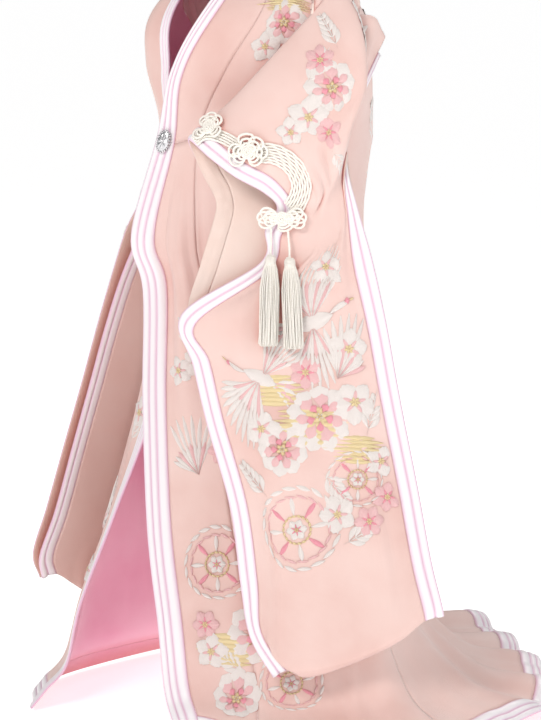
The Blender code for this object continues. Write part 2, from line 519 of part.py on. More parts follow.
def wall_mesh(name, outer, inner):
    """A closed wall between two grids of points, faces pointing out."""
    rows, columns = outer.shape[:2]
    bm = bmesh.new()
    faces_of = [[[bm.verts.new(p) for p in line] for line in grid] for grid in (outer, inner)]
    for front in faces_of:
        for r in range(rows - 1):
            for c in range(columns - 1):
                bm.faces.new((front[r][c], front[r][c + 1], front[r + 1][c + 1], front[r + 1][c]))
    rim = [(0, c) for c in range(columns)] + [(r, columns - 1) for r in range(1, rows)]
    rim += [(rows - 1, c) for c in range(columns - 2, -1, -1)] + [(r, 0) for r in range(rows - 2, 0, -1)]
    near, far = faces_of
    for (r, c), (s, d) in zip(rim, rim[1:] + rim[:1]):
        here, there = (near[r][c], far[r][c]), (near[s][d], far[s][d])
        if (r, c) < (s, d):
            bm.faces.new((here[0], there[0], there[1]))
            bm.faces.new((here[0], there[1], here[1]))
        else:
            bm.faces.new((here[0], there[0], here[1]))
            bm.faces.new((there[0], there[1], here[1]))
    bmesh.ops.recalc_face_normals(bm, faces=bm.faces)
    mesh = bpy.data.meshes.new(name)
    bm.to_mesh(mesh)
    bm.free()
    mesh.shade_smooth()
    mesh.set_sharp_from_angle(angle=math.radians(60))
    return mesh


def grid_of(rows, columns, count):
    """Row and column numbers of a piece, with count steps across; a column limit may follow the row."""
    row = np.asarray(rows, float)[:, None]
    share = np.linspace(0, 1, count + 1)[None, :]
    first = columns[0](row) if callable(columns[0]) else columns[0]
    last = columns[1](row) if callable(columns[1]) else columns[1]
    return row + 0 * share, first + (last - first) * share


def make_panel(name, sheet, rows, columns, count, finish, collection):
    """A flat-sewn piece of cloth."""
    row, column = grid_of(rows, columns, count)
    points, normals = sheet.at(row, column, (column.min(), column.max()))
    outer = pulled_in(points, SEAM_GAP / 2, ALL_SIDES)
    inner = pulled_in(points - WALL * normals, SEAM_GAP / 2, ALL_SIDES)
    return add_object(name, wall_mesh(name, outer, inner), finish, collection)


def make_band(name, sheet, rows, columns, count, rolls, finish, collection, across="columns"):
    """A padded band: rolls of wadding side by side, swelling a little on the lining side too."""
    row, column = grid_of(rows, columns, count)
    points, normals = sheet.at(row, column, (column.min(), column.max()))
    steps = count if across == "columns" else len(rows) - 1
    share = np.linspace(0, 1, steps + 1)
    share = share[None, :, None] if across == "columns" else share[:, None, None]
    proud = BAND_ROLL * np.abs(np.sin(math.pi * rolls * share))
    swell = BAND_BACK * np.sin(math.pi * share)
    outer = pulled_in(points + proud * normals, SEAM_GAP / 2, ALL_SIDES)
    inner = pulled_in(points - (WALL + swell) * normals, SEAM_GAP / 2, ALL_SIDES)
    return add_object(name, wall_mesh(name, outer, inner), finish, collection)


def moved(sheet, row, column, offset, span):
    """Row and column of the place that lies offset (a vector in the cloth) from a place."""
    step = 0.02
    here = sheet.at(row, column, span)[0]
    down = (sheet.at(row + step, column, span)[0] - here) / step
    over = (sheet.at(row, column + step, span)[0] - here) / step
    change = np.linalg.lstsq(np.stack([down, over], axis=1), offset, rcond=None)[0]
    return row + change[0], column + change[1]


def place_on(sheet, place, along, height, rows, span):
    """Row and column of the cloth at a place along the sleeve and a height above the floor."""
    low, high = np.array([rows[0], span[0]]), np.array([rows[1], span[1]])
    forward = np.array(place(1, 0, 0)[:2])
    steps = 24
    for _ in range(5):
        row, column = np.meshgrid(np.linspace(low[0], high[0], steps), np.linspace(low[1], high[1], steps),
                                  indexing="ij")
        points = sheet.at(row, column, span)[0]
        miss = (points[..., :2] @ forward - along) ** 2 + (points[..., 2] + SHOULDER_HEIGHT - height) ** 2
        best = np.unravel_index(np.argmin(miss), miss.shape)
        centre = np.array([row[best], column[best]])
        reach = (high - low) / steps * 1.5
        low, high = centre - reach, centre + reach
    return centre


def cloth_top(sheet, row, column, span):
    """Points and normals on top of the cloth, and of the padded rolls on the wrist band."""
    points, normals = sheet.at(row, column, span)
    on_band = np.clip((WRIST_SEAM - np.asarray(column, float)) * 4 + 1, 0, 1)[..., None]
    return points + BAND_ROLL * on_band * normals, normals


def make_knot(name, sheet, centre, half_width, half_height, petals, span, finish, collection):
    """A flower knot of cord: a lobed, domed pad, its flat back just clear of the highest cloth under it."""
    row, column = np.meshgrid(centre[0] + np.linspace(-1.5, 1.5, 31), np.linspace(*span, 61), indexing="ij")
    middle = cloth_top(sheet, centre[0], centre[1], span)[0]
    points, normals = cloth_top(sheet, row, column, span)
    around = points - middle
    near = np.linalg.norm(around, axis=-1) < half_width
    normal = normals[near].mean(axis=0)
    normal /= np.linalg.norm(normal)
    right = np.cross((0, 0, 1), normal)
    right /= np.linalg.norm(right)
    rise = np.cross(normal, right)
    under = np.linalg.norm(around, axis=-1) < (1 + KNOT_LOBE) * half_width
    base = TRIM_GAP + (around[under] @ normal).max()
    sides = petals * 4
    bm = bmesh.new()
    loops = []
    for reach, height in KNOT_RINGS:
        loop = []
        for k in range(sides):
            angle = 2 * math.pi * k / sides
            size = reach * (1 + KNOT_LOBE * math.cos(petals * angle))
            offset = size * (half_width * math.cos(angle) * right + half_height * math.sin(angle) * rise)
            loop.append(bm.verts.new(middle + offset + (base + height * KNOT_THICKNESS) * normal))
        loops.append(loop)
    for first, second in zip(loops, loops[1:]):
        for k in range(sides):
            bm.faces.new((first[k], first[(k + 1) % sides], second[(k + 1) % sides], second[k]))
    crown = bm.verts.new(middle + (base + 1.1 * KNOT_THICKNESS) * normal)
    for k in range(sides):
        bm.faces.new((crown, loops[-1][k], loops[-1][(k + 1) % sides]))
    bm.faces.new(loops[0])
    bmesh.ops.recalc_face_normals(bm, faces=bm.faces)
    mesh = bpy.data.meshes.new(name)
    bm.to_mesh(mesh)
    bm.free()
    mesh.shade_smooth()
    mesh.set_sharp_from_angle(angle=math.radians(50))
    return add_object(name, mesh, finish, collection)


def along_route(route, position):
    """Row and column on a smooth route through a few places."""
    places = np.array(route)
    ends = np.concatenate([2 * places[:1] - places[1:2], places, 2 * places[-1:] - places[-2:-1]])
    first, weights = blend_weights(np.clip(position, 0, len(route) - 1), len(route))
    return sum(weights[k] * ends[first + k] for k in range(4))


def make_braid(name, sheet, route, span, finish, collection):
    """A flat braid laid on the cloth along a route of rows and columns."""
    outer, inner = [], []
    for position in np.linspace(0, len(route) - 1, BRAID_STEPS + 1):
        row, column = along_route(route, position)
        ahead, behind = along_route(route, position + 0.05), along_route(route, position - 0.05)
        run = sheet.at(*ahead, span)[0] - sheet.at(*behind, span)[0]
        side = np.cross(sheet.at(row, column, span)[1], run)
        side /= np.linalg.norm(side)
        near, far = [], []
        for share, height in BRAID_SECTION:
            r, c = moved(sheet, row, column, share * BRAID_WIDTH * side, span)
            point, out = cloth_top(sheet, r, c, span)
            near.append(point + (TRIM_GAP + BRAID_THICKNESS * height) * out)
            far.append(point + TRIM_GAP * out)
        outer.append(near)
        inner.append(far)
    return add_object(name, wall_mesh(name, np.array(outer), np.array(inner)), finish, collection)


def make_tassel(name, top, bottom, finish, collection):
    """A head with a hanging cord above it and strands below, their roots fused into the head."""
    top, bottom = np.array(top), np.array(bottom)
    down = (bottom - top) / np.linalg.norm(bottom - top)
    side = np.cross(down, (0, 1, 0))
    side /= np.linalg.norm(side)
    front = np.cross(side, down)
    bm = bmesh.new()
    bmesh.ops.create_cone(bm, cap_ends=True, cap_tris=True, segments=TASSEL_SEGMENTS, radius1=TASSEL_RADIUS,
                          radius2=TASSEL_RADIUS * 0.45, depth=TASSEL_HEAD)
    bm.normal_update()
    skirt = [face for face in bm.faces if face.normal.z < -0.9]
    crown = [face for face in bm.faces if face.normal.z > 0.9]
    for stage, (spread, fall) in enumerate(TASSEL_STAGES):
        made = bmesh.ops.extrude_discrete_faces(bm, faces=skirt)
        skirt = made["faces"]
        for number, face in enumerate(skirt):
            middle = face.calc_center_median()
            ragged = 0.003 * math.sin(5.1 * number) if stage == len(TASSEL_STAGES) - 1 else 0.0
            for vertex in face.verts:
                offset = (vertex.co - middle) * TASSEL_TAPER
                vertex.co.x = middle.x * spread + offset.x
                vertex.co.y = middle.y * spread + offset.y
                vertex.co.z = vertex.co.z - fall * TASSEL_LENGTH + ragged
    raised = bmesh.ops.extrude_face_region(bm, geom=crown)["geom"]
    bmesh.ops.delete(bm, geom=crown, context="FACES_ONLY")
    neck = [item for item in raised if isinstance(item, bmesh.types.BMVert)]
    for vertex in neck:
        vertex.co.x *= 0.35
        vertex.co.y *= 0.35
        vertex.co.z += 0.002
    upper = [item for item in raised if isinstance(item, bmesh.types.BMFace)]
    cord = bmesh.ops.extrude_face_region(bm, geom=upper)["geom"]
    bmesh.ops.delete(bm, geom=upper, context="FACES_ONLY")
    for item in cord:
        if isinstance(item, bmesh.types.BMVert):
            item.co.z += TASSEL_CORD
    for vertex in bm.verts:
        x, y, z = vertex.co
        vertex.co = top - down * z + side * x + front * y
    mesh = bpy.data.meshes.new(name)
    bm.to_mesh(mesh)
    bm.free()
    return add_object(name, mesh, finish, collection)


def make_clip(name, body, finish, collection):
    """The oval ornament that holds the fronts together; its face looks out from the left front."""
    point, normal = body.at(CLIP_LEVEL, 13.5, (BAND_LEFT, FRONT_EDGE_LEFT))
    bm = bmesh.new()
    bmesh.ops.create_uvsphere(bm, u_segments=12, v_segments=8, radius=0.5)
    right = np.cross((0, 0, 1), normal)
    right /= np.linalg.norm(right)
    rise = np.cross(normal, right)
    tilt = math.radians(CLIP_TILT)
    across = math.cos(tilt) * right + math.sin(tilt) * rise
    upward = math.cos(tilt) * rise - math.sin(tilt) * right
    centre = point + (BAND_ROLL + TRIM_GAP + CLIP_THICKNESS / 2) * normal
    for vertex in bm.verts:
        x, y, z = vertex.co
        vertex.co = centre + x * CLIP_WIDTH * across + y * CLIP_HEIGHT * upward + z * CLIP_THICKNESS * normal
    bmesh.ops.recalc_face_normals(bm, faces=bm.faces)
    mesh = bpy.data.meshes.new(name)
    bm.to_mesh(mesh)
    bm.free()
    mesh.shade_smooth()
    return add_object(name, mesh, finish, collection)


# ---------------------------------------------------------------- the garment's pieces

def make_collar_surface(body):
    """The collar behind the neck: it stands on the back's neckline and leans a little outwards."""
    columns = np.linspace(NECK_RIGHT, NECK_LEFT, COLLAR_STEPS + 1)
    seam, _ = body.at(np.zeros(COLLAR_STEPS + 1), columns, (NECK_RIGHT, NECK_LEFT))
    seam = seam + (0, 0, COLLAR_LIFT)
    from_nape = np.linspace(-1, 1, COLLAR_STEPS + 1)[:, None]
    lean = np.concatenate([-0.62 * from_nape, 0.20 - 0.15 * from_nape**2, 0.98 - 0.20 * from_nape**2], axis=1)
    stand = COLLAR_STAND - (COLLAR_STAND - COLLAR_AT_SHOULDER) * from_nape**2
    return Surface(np.stack([seam + lean * (stand + COLLAR_BAND), seam + lean * stand, seam]), (), facing=1)


def make_body_pieces(body, finishes, collection):
    silk, white = finishes["silk"], finishes["band"]
    long_rows = np.concatenate([np.arange(0, 1, 0.25), np.arange(1, HEM_LINE + 0.5, 0.5)])
    below_clip = long_rows[long_rows >= CLIP_LEVEL]
    above_clip = long_rows[long_rows <= CLIP_LEVEL]
    panels = [
        ("back_right", long_rows, (SIDE_RIGHT, CENTRE_BACK), 12),
        ("back_left", long_rows, (CENTRE_BACK, SIDE_LEFT), 12),
        ("front_right", long_rows, (OKUMI_RIGHT, SIDE_RIGHT), 8),
        ("front_left", long_rows, (SIDE_LEFT, OKUMI_LEFT), 8),
        ("okumi_right", below_clip, (BAND_RIGHT, OKUMI_RIGHT), 4),
        ("okumi_left", below_clip, (OKUMI_LEFT, BAND_LEFT), 4),
        ("collar_right", above_clip, (BAND_RIGHT, OKUMI_RIGHT), 4),
        ("collar_left", above_clip, (OKUMI_LEFT, BAND_LEFT), 4),
    ]
    for name, rows, columns, count in panels:
        make_panel(name, body, rows, columns, count, silk, collection)
    hem_rows = np.linspace(HEM_LINE, HEM, 2 * HEM_ROLLS + 1)
    hems = [
        ("hem_front_right", (BAND_RIGHT, SIDE_RIGHT)), ("hem_back_right", (SIDE_RIGHT, CENTRE_BACK)),
        ("hem_back_left", (CENTRE_BACK, SIDE_LEFT)), ("hem_front_left", (SIDE_LEFT, BAND_LEFT)),
    ]
    for name, columns in hems:
        make_band(name, body, hem_rows, columns, 12, HEM_ROLLS, white, collection, across="rows")
    edge_rows = np.append(long_rows, HEM)
    for name, columns in (("edge_right", (FRONT_EDGE_RIGHT, BAND_RIGHT)), ("edge_left", (BAND_LEFT, FRONT_EDGE_LEFT))):
        make_band(name, body, edge_rows, columns, 2 * HEM_ROLLS, HEM_ROLLS, white, collection)
    collar = make_collar_surface(body)
    make_panel("collar_back", collar, np.linspace(1, 2, 4), (0, COLLAR_STEPS), COLLAR_STEPS, silk, collection)
    make_band("collar_edge_back", collar, np.linspace(0, 1, 2 * SLEEVE_ROLLS + 1), (0, COLLAR_STEPS),
              COLLAR_STEPS, SLEEVE_ROLLS, white, collection, across="rows")


def make_sleeve_pieces(side, sleeve, band_from, finishes, collection):
    silk, white = finishes["silk"], finishes["band"]
    bottom = sleeve.rows - 1
    middle = bottom // 2

    def back_seam(row):
        """The back band starts below the armpit and widens over the next row."""
        below = np.abs(row - middle) - band_from
        return BACK_EDGE - (BACK_EDGE - BACK_SEAM) * np.clip(below, 0, 1)

    fine = np.arange(0, FINE_ROWS, 0.5)
    coarse = np.arange(FINE_ROWS, middle + 1)
    down = np.sort(np.concatenate([fine, coarse, [band_from + BAND_START]]))
    for leaf, direction in (("back", 1), ("front", -1)):
        rows = middle + direction * down
        sewn = middle + direction * down[down > band_from]
        make_panel(f"sleeve_{side}_{leaf}", sleeve, rows, (WRIST_SEAM, back_seam), 7, silk, collection)
        make_band(f"wrist_band_{side}_{leaf}", sleeve, rows, (0, WRIST_SEAM), 2 * SLEEVE_ROLLS, SLEEVE_ROLLS,
                  white, collection)
        make_band(f"back_band_{side}_{leaf}", sleeve, sewn, (back_seam, BACK_EDGE), 2 * SLEEVE_ROLLS,
                  SLEEVE_ROLLS, white, collection)


def make_cuff_trim(side, sleeve, place, finishes, collection):
    """Flower knots, a flat braid and two tassels on the leaf that faces away from the body."""
    cord = finishes["cord"]
    middle = (sleeve.rows - 1) // 2
    span = (0, BACK_EDGE)
    reach = (middle, middle + 8)
    trim = CUFFS[side]
    for number, (along, height, half_width, half_height, petals) in enumerate(trim["knots"], 1):
        centre = place_on(sleeve, place, along, height, reach, span)
        make_knot(f"knot_{side}_{number}", sleeve, centre, half_width, half_height, petals, span, cord, collection)
    route = [place_on(sleeve, place, along, height, reach, span) for along, height in trim["braid"]]
    make_braid(f"braid_{side}", sleeve, route, span, cord, collection)
    for number, (along, height) in enumerate(trim["tassels"], 1):
        ends = []
        for fall in (0.0, TASSEL_LENGTH):
            row, column = place_on(sleeve, place, along, height - fall, reach, span)
            point, out = sleeve.at(row, column, span)
            ends.append(point + TASSEL_STAND * out)
        make_tassel(f"tassel_{side}_{number}", ends[0], ends[1], cord, collection)


def build():
    for leftover in list(bpy.data.objects):
        bpy.data.objects.remove(leftover)
    collection = bpy.data.collections.new("uchikake")
    bpy.context.scene.collection.children.link(collection)
    finishes = {
        "silk": material("peach_crepe_silk", PEACH, 0.55),
        "band": material("padded_satin_band", BAND_WHITE, 0.40),
        "cord": material("ivory_cord", IVORY, 0.60),
        "clip": material("silver_clip", SILVER, 0.25, 1.0),
    }
    body = make_body()
    make_body_pieces(body, finishes, collection)
    left = make_sleeve(body, left_place, LEFT_FOLD, LEFT_OUTER, LEFT_INNER, LEFT_BOTTOM, LEFT_SLEEVE_FOLDS,
                       SIDE_LEFT, facing=-1)
    right_inner = inner_rows(RIGHT_OUTER, RIGHT_GAPS)
    right = make_sleeve(body, right_place, RIGHT_FOLD, RIGHT_OUTER, right_inner, RIGHT_BOTTOM,
                        RIGHT_SLEEVE_FOLDS, SIDE_RIGHT, facing=1)
    for side, sleeve, place in (("left", left, left_place), ("right", right, right_place)):
        make_sleeve_pieces(side, sleeve, BAND_ROWS[side], finishes, collection)
        make_cuff_trim(side, sleeve, place, finishes, collection)
    make_clip("front_clip", body, finishes["clip"], collection)


build()
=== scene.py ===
# Uchikake: a Japanese wedding over-kimono, worn open and clipped at the waist.
# Cloth, padded bands, cord knots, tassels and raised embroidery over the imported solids.
# Metres, +Z up, wearer's left is +X, origin where the shoulders hold it.
import json
import math

import bmesh
import bpy
import numpy as np
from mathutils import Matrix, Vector


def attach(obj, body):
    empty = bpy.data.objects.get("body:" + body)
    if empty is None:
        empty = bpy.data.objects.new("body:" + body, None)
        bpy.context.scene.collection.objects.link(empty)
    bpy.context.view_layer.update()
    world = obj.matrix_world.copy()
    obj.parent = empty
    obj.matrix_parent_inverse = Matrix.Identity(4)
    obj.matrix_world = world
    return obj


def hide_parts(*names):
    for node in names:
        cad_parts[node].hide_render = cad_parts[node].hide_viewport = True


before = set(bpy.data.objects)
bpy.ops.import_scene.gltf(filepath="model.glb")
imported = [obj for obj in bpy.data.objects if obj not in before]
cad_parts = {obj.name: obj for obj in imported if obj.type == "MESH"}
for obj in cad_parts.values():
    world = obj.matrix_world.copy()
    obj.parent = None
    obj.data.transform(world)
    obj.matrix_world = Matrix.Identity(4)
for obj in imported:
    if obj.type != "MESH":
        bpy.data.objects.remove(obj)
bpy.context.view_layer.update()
print("frame loaded")

shoulderHeight = 1.36      # origin above the floor; the tables give heights above the floor
wall = 0.0024               # outer silk, interlining and lining together
leafSpread = 0.0046        # from a sleeve's bottom seam to the outer face of each leaf
edgeBand = 0.045           # padded band down the fronts and round the hem
collarBand = 0.024         # the same band where it runs up the collar
collarStand = 0.045        # collar height behind the neck
collarAtShoulder = 0.024  # the same at the sides of the neck
collarLift = 0.0012        # collar above the neckline it is sewn to
collarSteps = 8
hemRolls, sleeveRolls = 3, 2
wristBand = 0.030          # padded band on a sleeve's wrist edge
furiBand = 0.034           # padded band on a sleeve's back edge
bandRoll = 0.0030          # how far the padded rolls stand proud
armholeBow = 0.045         # how far an arm holds each side of the armhole open
armholeSide = 0.5          # levels and lines beside an armhole whose normals are evened out
armholeStep = 0.12         # stretch of cloth that they are evened over
sleeveSet = 0.0012         # sleeve head clear of the armhole's edge

armpit = 1.4                # level of the armhole's lower end
clipLevel = 3.0            # level where the fronts are clipped together
hemLine = 10.0             # level of the seam above the hem band
hem = 11.0                  # level of the hem itself


# The body's lines from shoulder to hem: x, y and height above the floor at each level. Levels are
# 0 shoulder, 1 chest, 2 armpit, 3 clip, 4 hip, 5 thigh, 6 knee, 7 calf, 8 ankle, 9 turn, 10 hem band.
bodyLines = {
    "front_edge_right": [
        (-0.058, -0.004, 1.425), (-0.046, -0.150, 1.270), (-0.026, -0.176, 1.160), (-0.002, -0.190, 1.040),
        (-0.010, -0.205, 0.870), (-0.010, -0.195, 0.770), (-0.014, -0.212, 0.580), (-0.052, -0.282, 0.360),
        (-0.084, -0.334, 0.200), (-0.102, -0.354, 0.088), (-0.120, -0.386, 0.042)],
    "okumi_seam_right": [
        (-0.088, -0.004, 1.392), (-0.110, -0.155, 1.270), (-0.100, -0.182, 1.170), (-0.055, -0.173, 1.040),
        (-0.090, -0.172, 0.870), (-0.095, -0.168, 0.770), (-0.110, -0.185, 0.580), (-0.155, -0.228, 0.360),
        (-0.194, -0.264, 0.200), (-0.214, -0.284, 0.088), (-0.240, -0.311, 0.042)],
    "front_middle_right": [
        (-0.145, -0.002, 1.380), (-0.188, -0.088, 1.270), (-0.184, -0.105, 1.160), (-0.158, -0.110, 1.040),
        (-0.165, -0.108, 0.870), (-0.172, -0.108, 0.770), (-0.195, -0.118, 0.580), (-0.235, -0.138, 0.360),
        (-0.270, -0.150, 0.200), (-0.288, -0.156, 0.088), (-0.322, -0.172, 0.042)],
    "side_right": [
        (-0.205, 0.000, 1.360), (-0.235, 0.015, 1.250), (-0.235, 0.030, 1.130), (-0.218, 0.020, 1.030),
        (-0.210, 0.010, 0.880), (-0.215, 0.010, 0.770), (-0.236, 0.020, 0.580), (-0.265, 0.035, 0.370),
        (-0.290, 0.065, 0.190), (-0.325, 0.095, 0.085), (-0.375, 0.125, 0.040)],
    "back_middle_right": [
        (-0.142, 0.002, 1.383), (-0.170, 0.100, 1.265), (-0.170, 0.125, 1.150), (-0.160, 0.125, 1.050),
        (-0.155, 0.110, 0.910), (-0.165, 0.110, 0.790), (-0.188, 0.130, 0.610), (-0.220, 0.170, 0.410),
        (-0.250, 0.240, 0.200), (-0.272, 0.330, 0.075), (-0.290, 0.430, 0.045)],
    "neck_right": [
        (-0.078, 0.006, 1.397), (-0.085, 0.135, 1.270), (-0.090, 0.165, 1.160), (-0.085, 0.175, 1.060),
        (-0.085, 0.155, 0.930), (-0.090, 0.155, 0.800), (-0.100, 0.180, 0.620), (-0.118, 0.230, 0.420),
        (-0.136, 0.310, 0.200), (-0.148, 0.420, 0.080), (-0.160, 0.540, 0.050)],
    "centre_back": [
        (0.000, 0.100, 1.385), (0.000, 0.150, 1.270), (0.000, 0.185, 1.160), (0.000, 0.200, 1.060),
        (0.000, 0.176, 0.940), (0.000, 0.170, 0.800), (0.000, 0.190, 0.620), (0.000, 0.238, 0.420),
        (0.000, 0.305, 0.200), (0.000, 0.395, 0.070), (0.000, 0.520, 0.038)],
    "neck_left": [
        (0.078, 0.006, 1.397), (0.085, 0.135, 1.270), (0.090, 0.165, 1.160), (0.085, 0.175, 1.060),
        (0.085, 0.155, 0.930), (0.090, 0.155, 0.800), (0.100, 0.180, 0.620), (0.110, 0.200, 0.420),
        (0.128, 0.238, 0.200), (0.168, 0.335, 0.070), (0.212, 0.432, 0.036)],
    "back_middle_left": [
        (0.142, 0.002, 1.383), (0.170, 0.100, 1.265), (0.170, 0.125, 1.150), (0.160, 0.125, 1.050),
        (0.155, 0.110, 0.910), (0.165, 0.110, 0.790), (0.186, 0.116, 0.610), (0.212, 0.130, 0.410),
        (0.250, 0.150, 0.200), (0.325, 0.235, 0.070), (0.400, 0.312, 0.036)],
    "side_left": [
        (0.205, 0.000, 1.360), (0.235, 0.015, 1.250), (0.235, 0.030, 1.130), (0.218, 0.020, 1.030),
        (0.210, 0.010, 0.880), (0.215, 0.005, 0.770), (0.246, 0.010, 0.580), (0.290, 0.020, 0.370),
        (0.335, 0.040, 0.190), (0.392, 0.058, 0.080), (0.455, 0.078, 0.040)],
    "front_middle_left": [
        (0.145, -0.002, 1.380), (0.185, -0.060, 1.270), (0.180, -0.080, 1.160), (0.150, -0.100, 1.040),
        (0.156, -0.109, 0.870), (0.170, -0.106, 0.770), (0.215, -0.099, 0.580), (0.276, -0.078, 0.360),
        (0.322, -0.060, 0.200), (0.348, -0.059, 0.088), (0.390, -0.066, 0.039)],
    "okumi_seam_left": [
        (0.088, -0.004, 1.392), (0.150, -0.090, 1.270), (0.115, -0.145, 1.160), (0.060, -0.168, 1.040),
        (0.079, -0.185, 0.870), (0.091, -0.175, 0.770), (0.131, -0.177, 0.580), (0.195, -0.180, 0.360),
        (0.244, -0.176, 0.200), (0.262, -0.177, 0.086), (0.302, -0.193, 0.038)],
    "front_edge_left": [
        (0.058, -0.004, 1.425), (0.068, -0.156, 1.270), (0.030, -0.205, 1.160), (-0.005, -0.215, 1.040),
        (-0.028, -0.255, 0.870), (-0.012, -0.241, 0.770), (0.022, -0.262, 0.580), (0.078, -0.286, 0.360),
        (0.124, -0.292, 0.200), (0.148, -0.293, 0.086), (0.189, -0.300, 0.038)],
}
bodyOrder = list(bodyLines)
bandWidths = [collarBand, collarBand, collarBand, 0.036] + [edgeBand] * 7    # front bands, by level

# Folds in the body: where round the body (in lines), first and last level, width in lines, height.
bodyFolds = [
    (1.4, 4.2, 9.5, 0.50, -0.008), (2.6, 5.0, 10.0, 0.55, 0.009), (4.5, 4.5, 11.5, 0.50, 0.010),
    (5.4, 5.5, 14.0, 0.42, 0.020), (6.3, 6.5, 14.0, 0.40, 0.026), (7.1, 7.0, 14.0, 0.38, 0.024),
    (7.8, 6.5, 14.0, 0.36, 0.028), (8.5, 7.0, 14.0, 0.38, 0.024), (9.3, 6.0, 14.0, 0.40, 0.022),
    (10.3, 5.0, 12.0, 0.50, 0.014), (11.6, 3.2, 8.5, 0.45, -0.009), (12.5, 3.4, 7.2, 0.34, 0.010),
    (12.9, 3.2, 6.4, 0.30, -0.011), (6.5, 1.2, 3.4, 0.60, -0.006), (8.5, 1.2, 3.4, 0.60, -0.006),
]

# A sleeve's leaves, from the fold over the arm (row 0) to the bottom seam. Each row runs from the
# wrist edge to the back edge. Numbers are: along the sleeve, out from the body, height above floor.
leftFold = [
    (-0.125, 0.245, 1.045), (-0.056, 0.245, 1.108), (0.010, 0.240, 1.178), (0.110, 0.216, 1.288),
]
leftOuter = [
    [(-0.092, 0.272, 1.018), (-0.030, 0.283, 1.060), (0.045, 0.285, 1.120), (0.160, 0.262, 1.225)],
    [(-0.046, 0.283, 0.984), (0.022, 0.293, 1.022), (0.090, 0.298, 1.070), (0.176, 0.276, 1.155)],
    [(0.004, 0.280, 0.956), (0.062, 0.292, 0.990), (0.102, 0.297, 1.025), (0.150, 0.284, 1.085),
     (0.214, 0.179, 1.218)],
    [(0.026, 0.274, 0.930), (0.088, 0.284, 0.946), (0.116, 0.284, 0.974), (0.138, 0.268, 1.016),
     (0.150, 0.228, 1.065)],
    [(0.006, 0.268, 0.893), (0.072, 0.275, 0.901), (0.104, 0.275, 0.924), (0.132, 0.264, 0.962),
     (0.147, 0.246, 1.000)],
    [(-0.002, 0.266, 0.836), (0.056, 0.272, 0.834), (0.096, 0.274, 0.860), (0.134, 0.268, 0.894),
     (0.166, 0.260, 0.925)],
    [(-0.137, 0.270, 0.748), (-0.048, 0.281, 0.752), (0.030, 0.286, 0.774), (0.112, 0.283, 0.808),
     (0.190, 0.273, 0.842)],
    [(-0.118, 0.279, 0.660), (-0.038, 0.288, 0.665), (0.045, 0.293, 0.680), (0.130, 0.291, 0.702),
     (0.215, 0.281, 0.730)],
    [(-0.094, 0.296, 0.560), (-0.010, 0.306, 0.560), (0.070, 0.311, 0.568), (0.150, 0.307, 0.584),
     (0.238, 0.296, 0.605)],
    [(-0.054, 0.325, 0.420), (0.020, 0.335, 0.410), (0.095, 0.340, 0.415), (0.178, 0.336, 0.430),
     (0.268, 0.325, 0.455)],
    [(-0.036, 0.352, 0.290), (0.040, 0.364, 0.272), (0.120, 0.368, 0.280), (0.202, 0.364, 0.302),
     (0.290, 0.352, 0.335)],
    [(-0.020, 0.372, 0.205), (0.040, 0.384, 0.165), (0.130, 0.388, 0.176), (0.215, 0.383, 0.210),
     (0.308, 0.370, 0.262)],
]
leftInner = [
    [(-0.114, 0.225, 1.012), (-0.045, 0.222, 1.058), (0.020, 0.220, 1.112), (0.102, 0.239, 1.204)],
    [(-0.098, 0.222, 0.978), (-0.020, 0.222, 1.014), (0.042, 0.223, 1.056), (0.098, 0.232, 1.128)],
    [(-0.082, 0.222, 0.948), (-0.005, 0.223, 0.974), (0.058, 0.225, 1.006), (0.108, 0.224, 1.062),
     (0.150, 0.206, 1.140)],
    [(-0.078, 0.223, 0.925), (0.000, 0.225, 0.942), (0.065, 0.229, 0.965), (0.115, 0.227, 1.002),
     (0.146, 0.214, 1.044)],
    [(-0.090, 0.225, 0.880), (-0.005, 0.228, 0.895), (0.065, 0.232, 0.918), (0.120, 0.231, 0.950),
     (0.152, 0.224, 0.985)],
    [(-0.105, 0.229, 0.830), (-0.015, 0.234, 0.840), (0.060, 0.238, 0.860), (0.120, 0.238, 0.888),
     (0.166, 0.232, 0.920)],
    [(-0.128, 0.236, 0.745), (-0.045, 0.244, 0.755), (0.035, 0.249, 0.775), (0.110, 0.249, 0.805),
     (0.186, 0.242, 0.842)],
    [(-0.110, 0.251, 0.660), (-0.030, 0.259, 0.665), (0.050, 0.263, 0.680), (0.130, 0.261, 0.702),
     (0.210, 0.253, 0.730)],
    [(-0.084, 0.270, 0.560), (-0.005, 0.279, 0.560), (0.075, 0.282, 0.568), (0.150, 0.279, 0.584),
     (0.232, 0.269, 0.605)],
    [(-0.045, 0.299, 0.420), (0.024, 0.308, 0.410), (0.098, 0.311, 0.415), (0.178, 0.308, 0.430),
     (0.262, 0.299, 0.455)],
    [(-0.028, 0.326, 0.290), (0.043, 0.337, 0.272), (0.122, 0.340, 0.280), (0.202, 0.337, 0.302),
     (0.285, 0.326, 0.335)],
    [(-0.014, 0.352, 0.205), (0.043, 0.362, 0.165), (0.130, 0.365, 0.176), (0.215, 0.361, 0.210),
     (0.304, 0.350, 0.262)],
]
leftBottom = [
    (0.020, 0.370, 0.134), (0.080, 0.376, 0.136), (0.155, 0.378, 0.160), (0.235, 0.374, 0.198),
    (0.312, 0.362, 0.240),
]

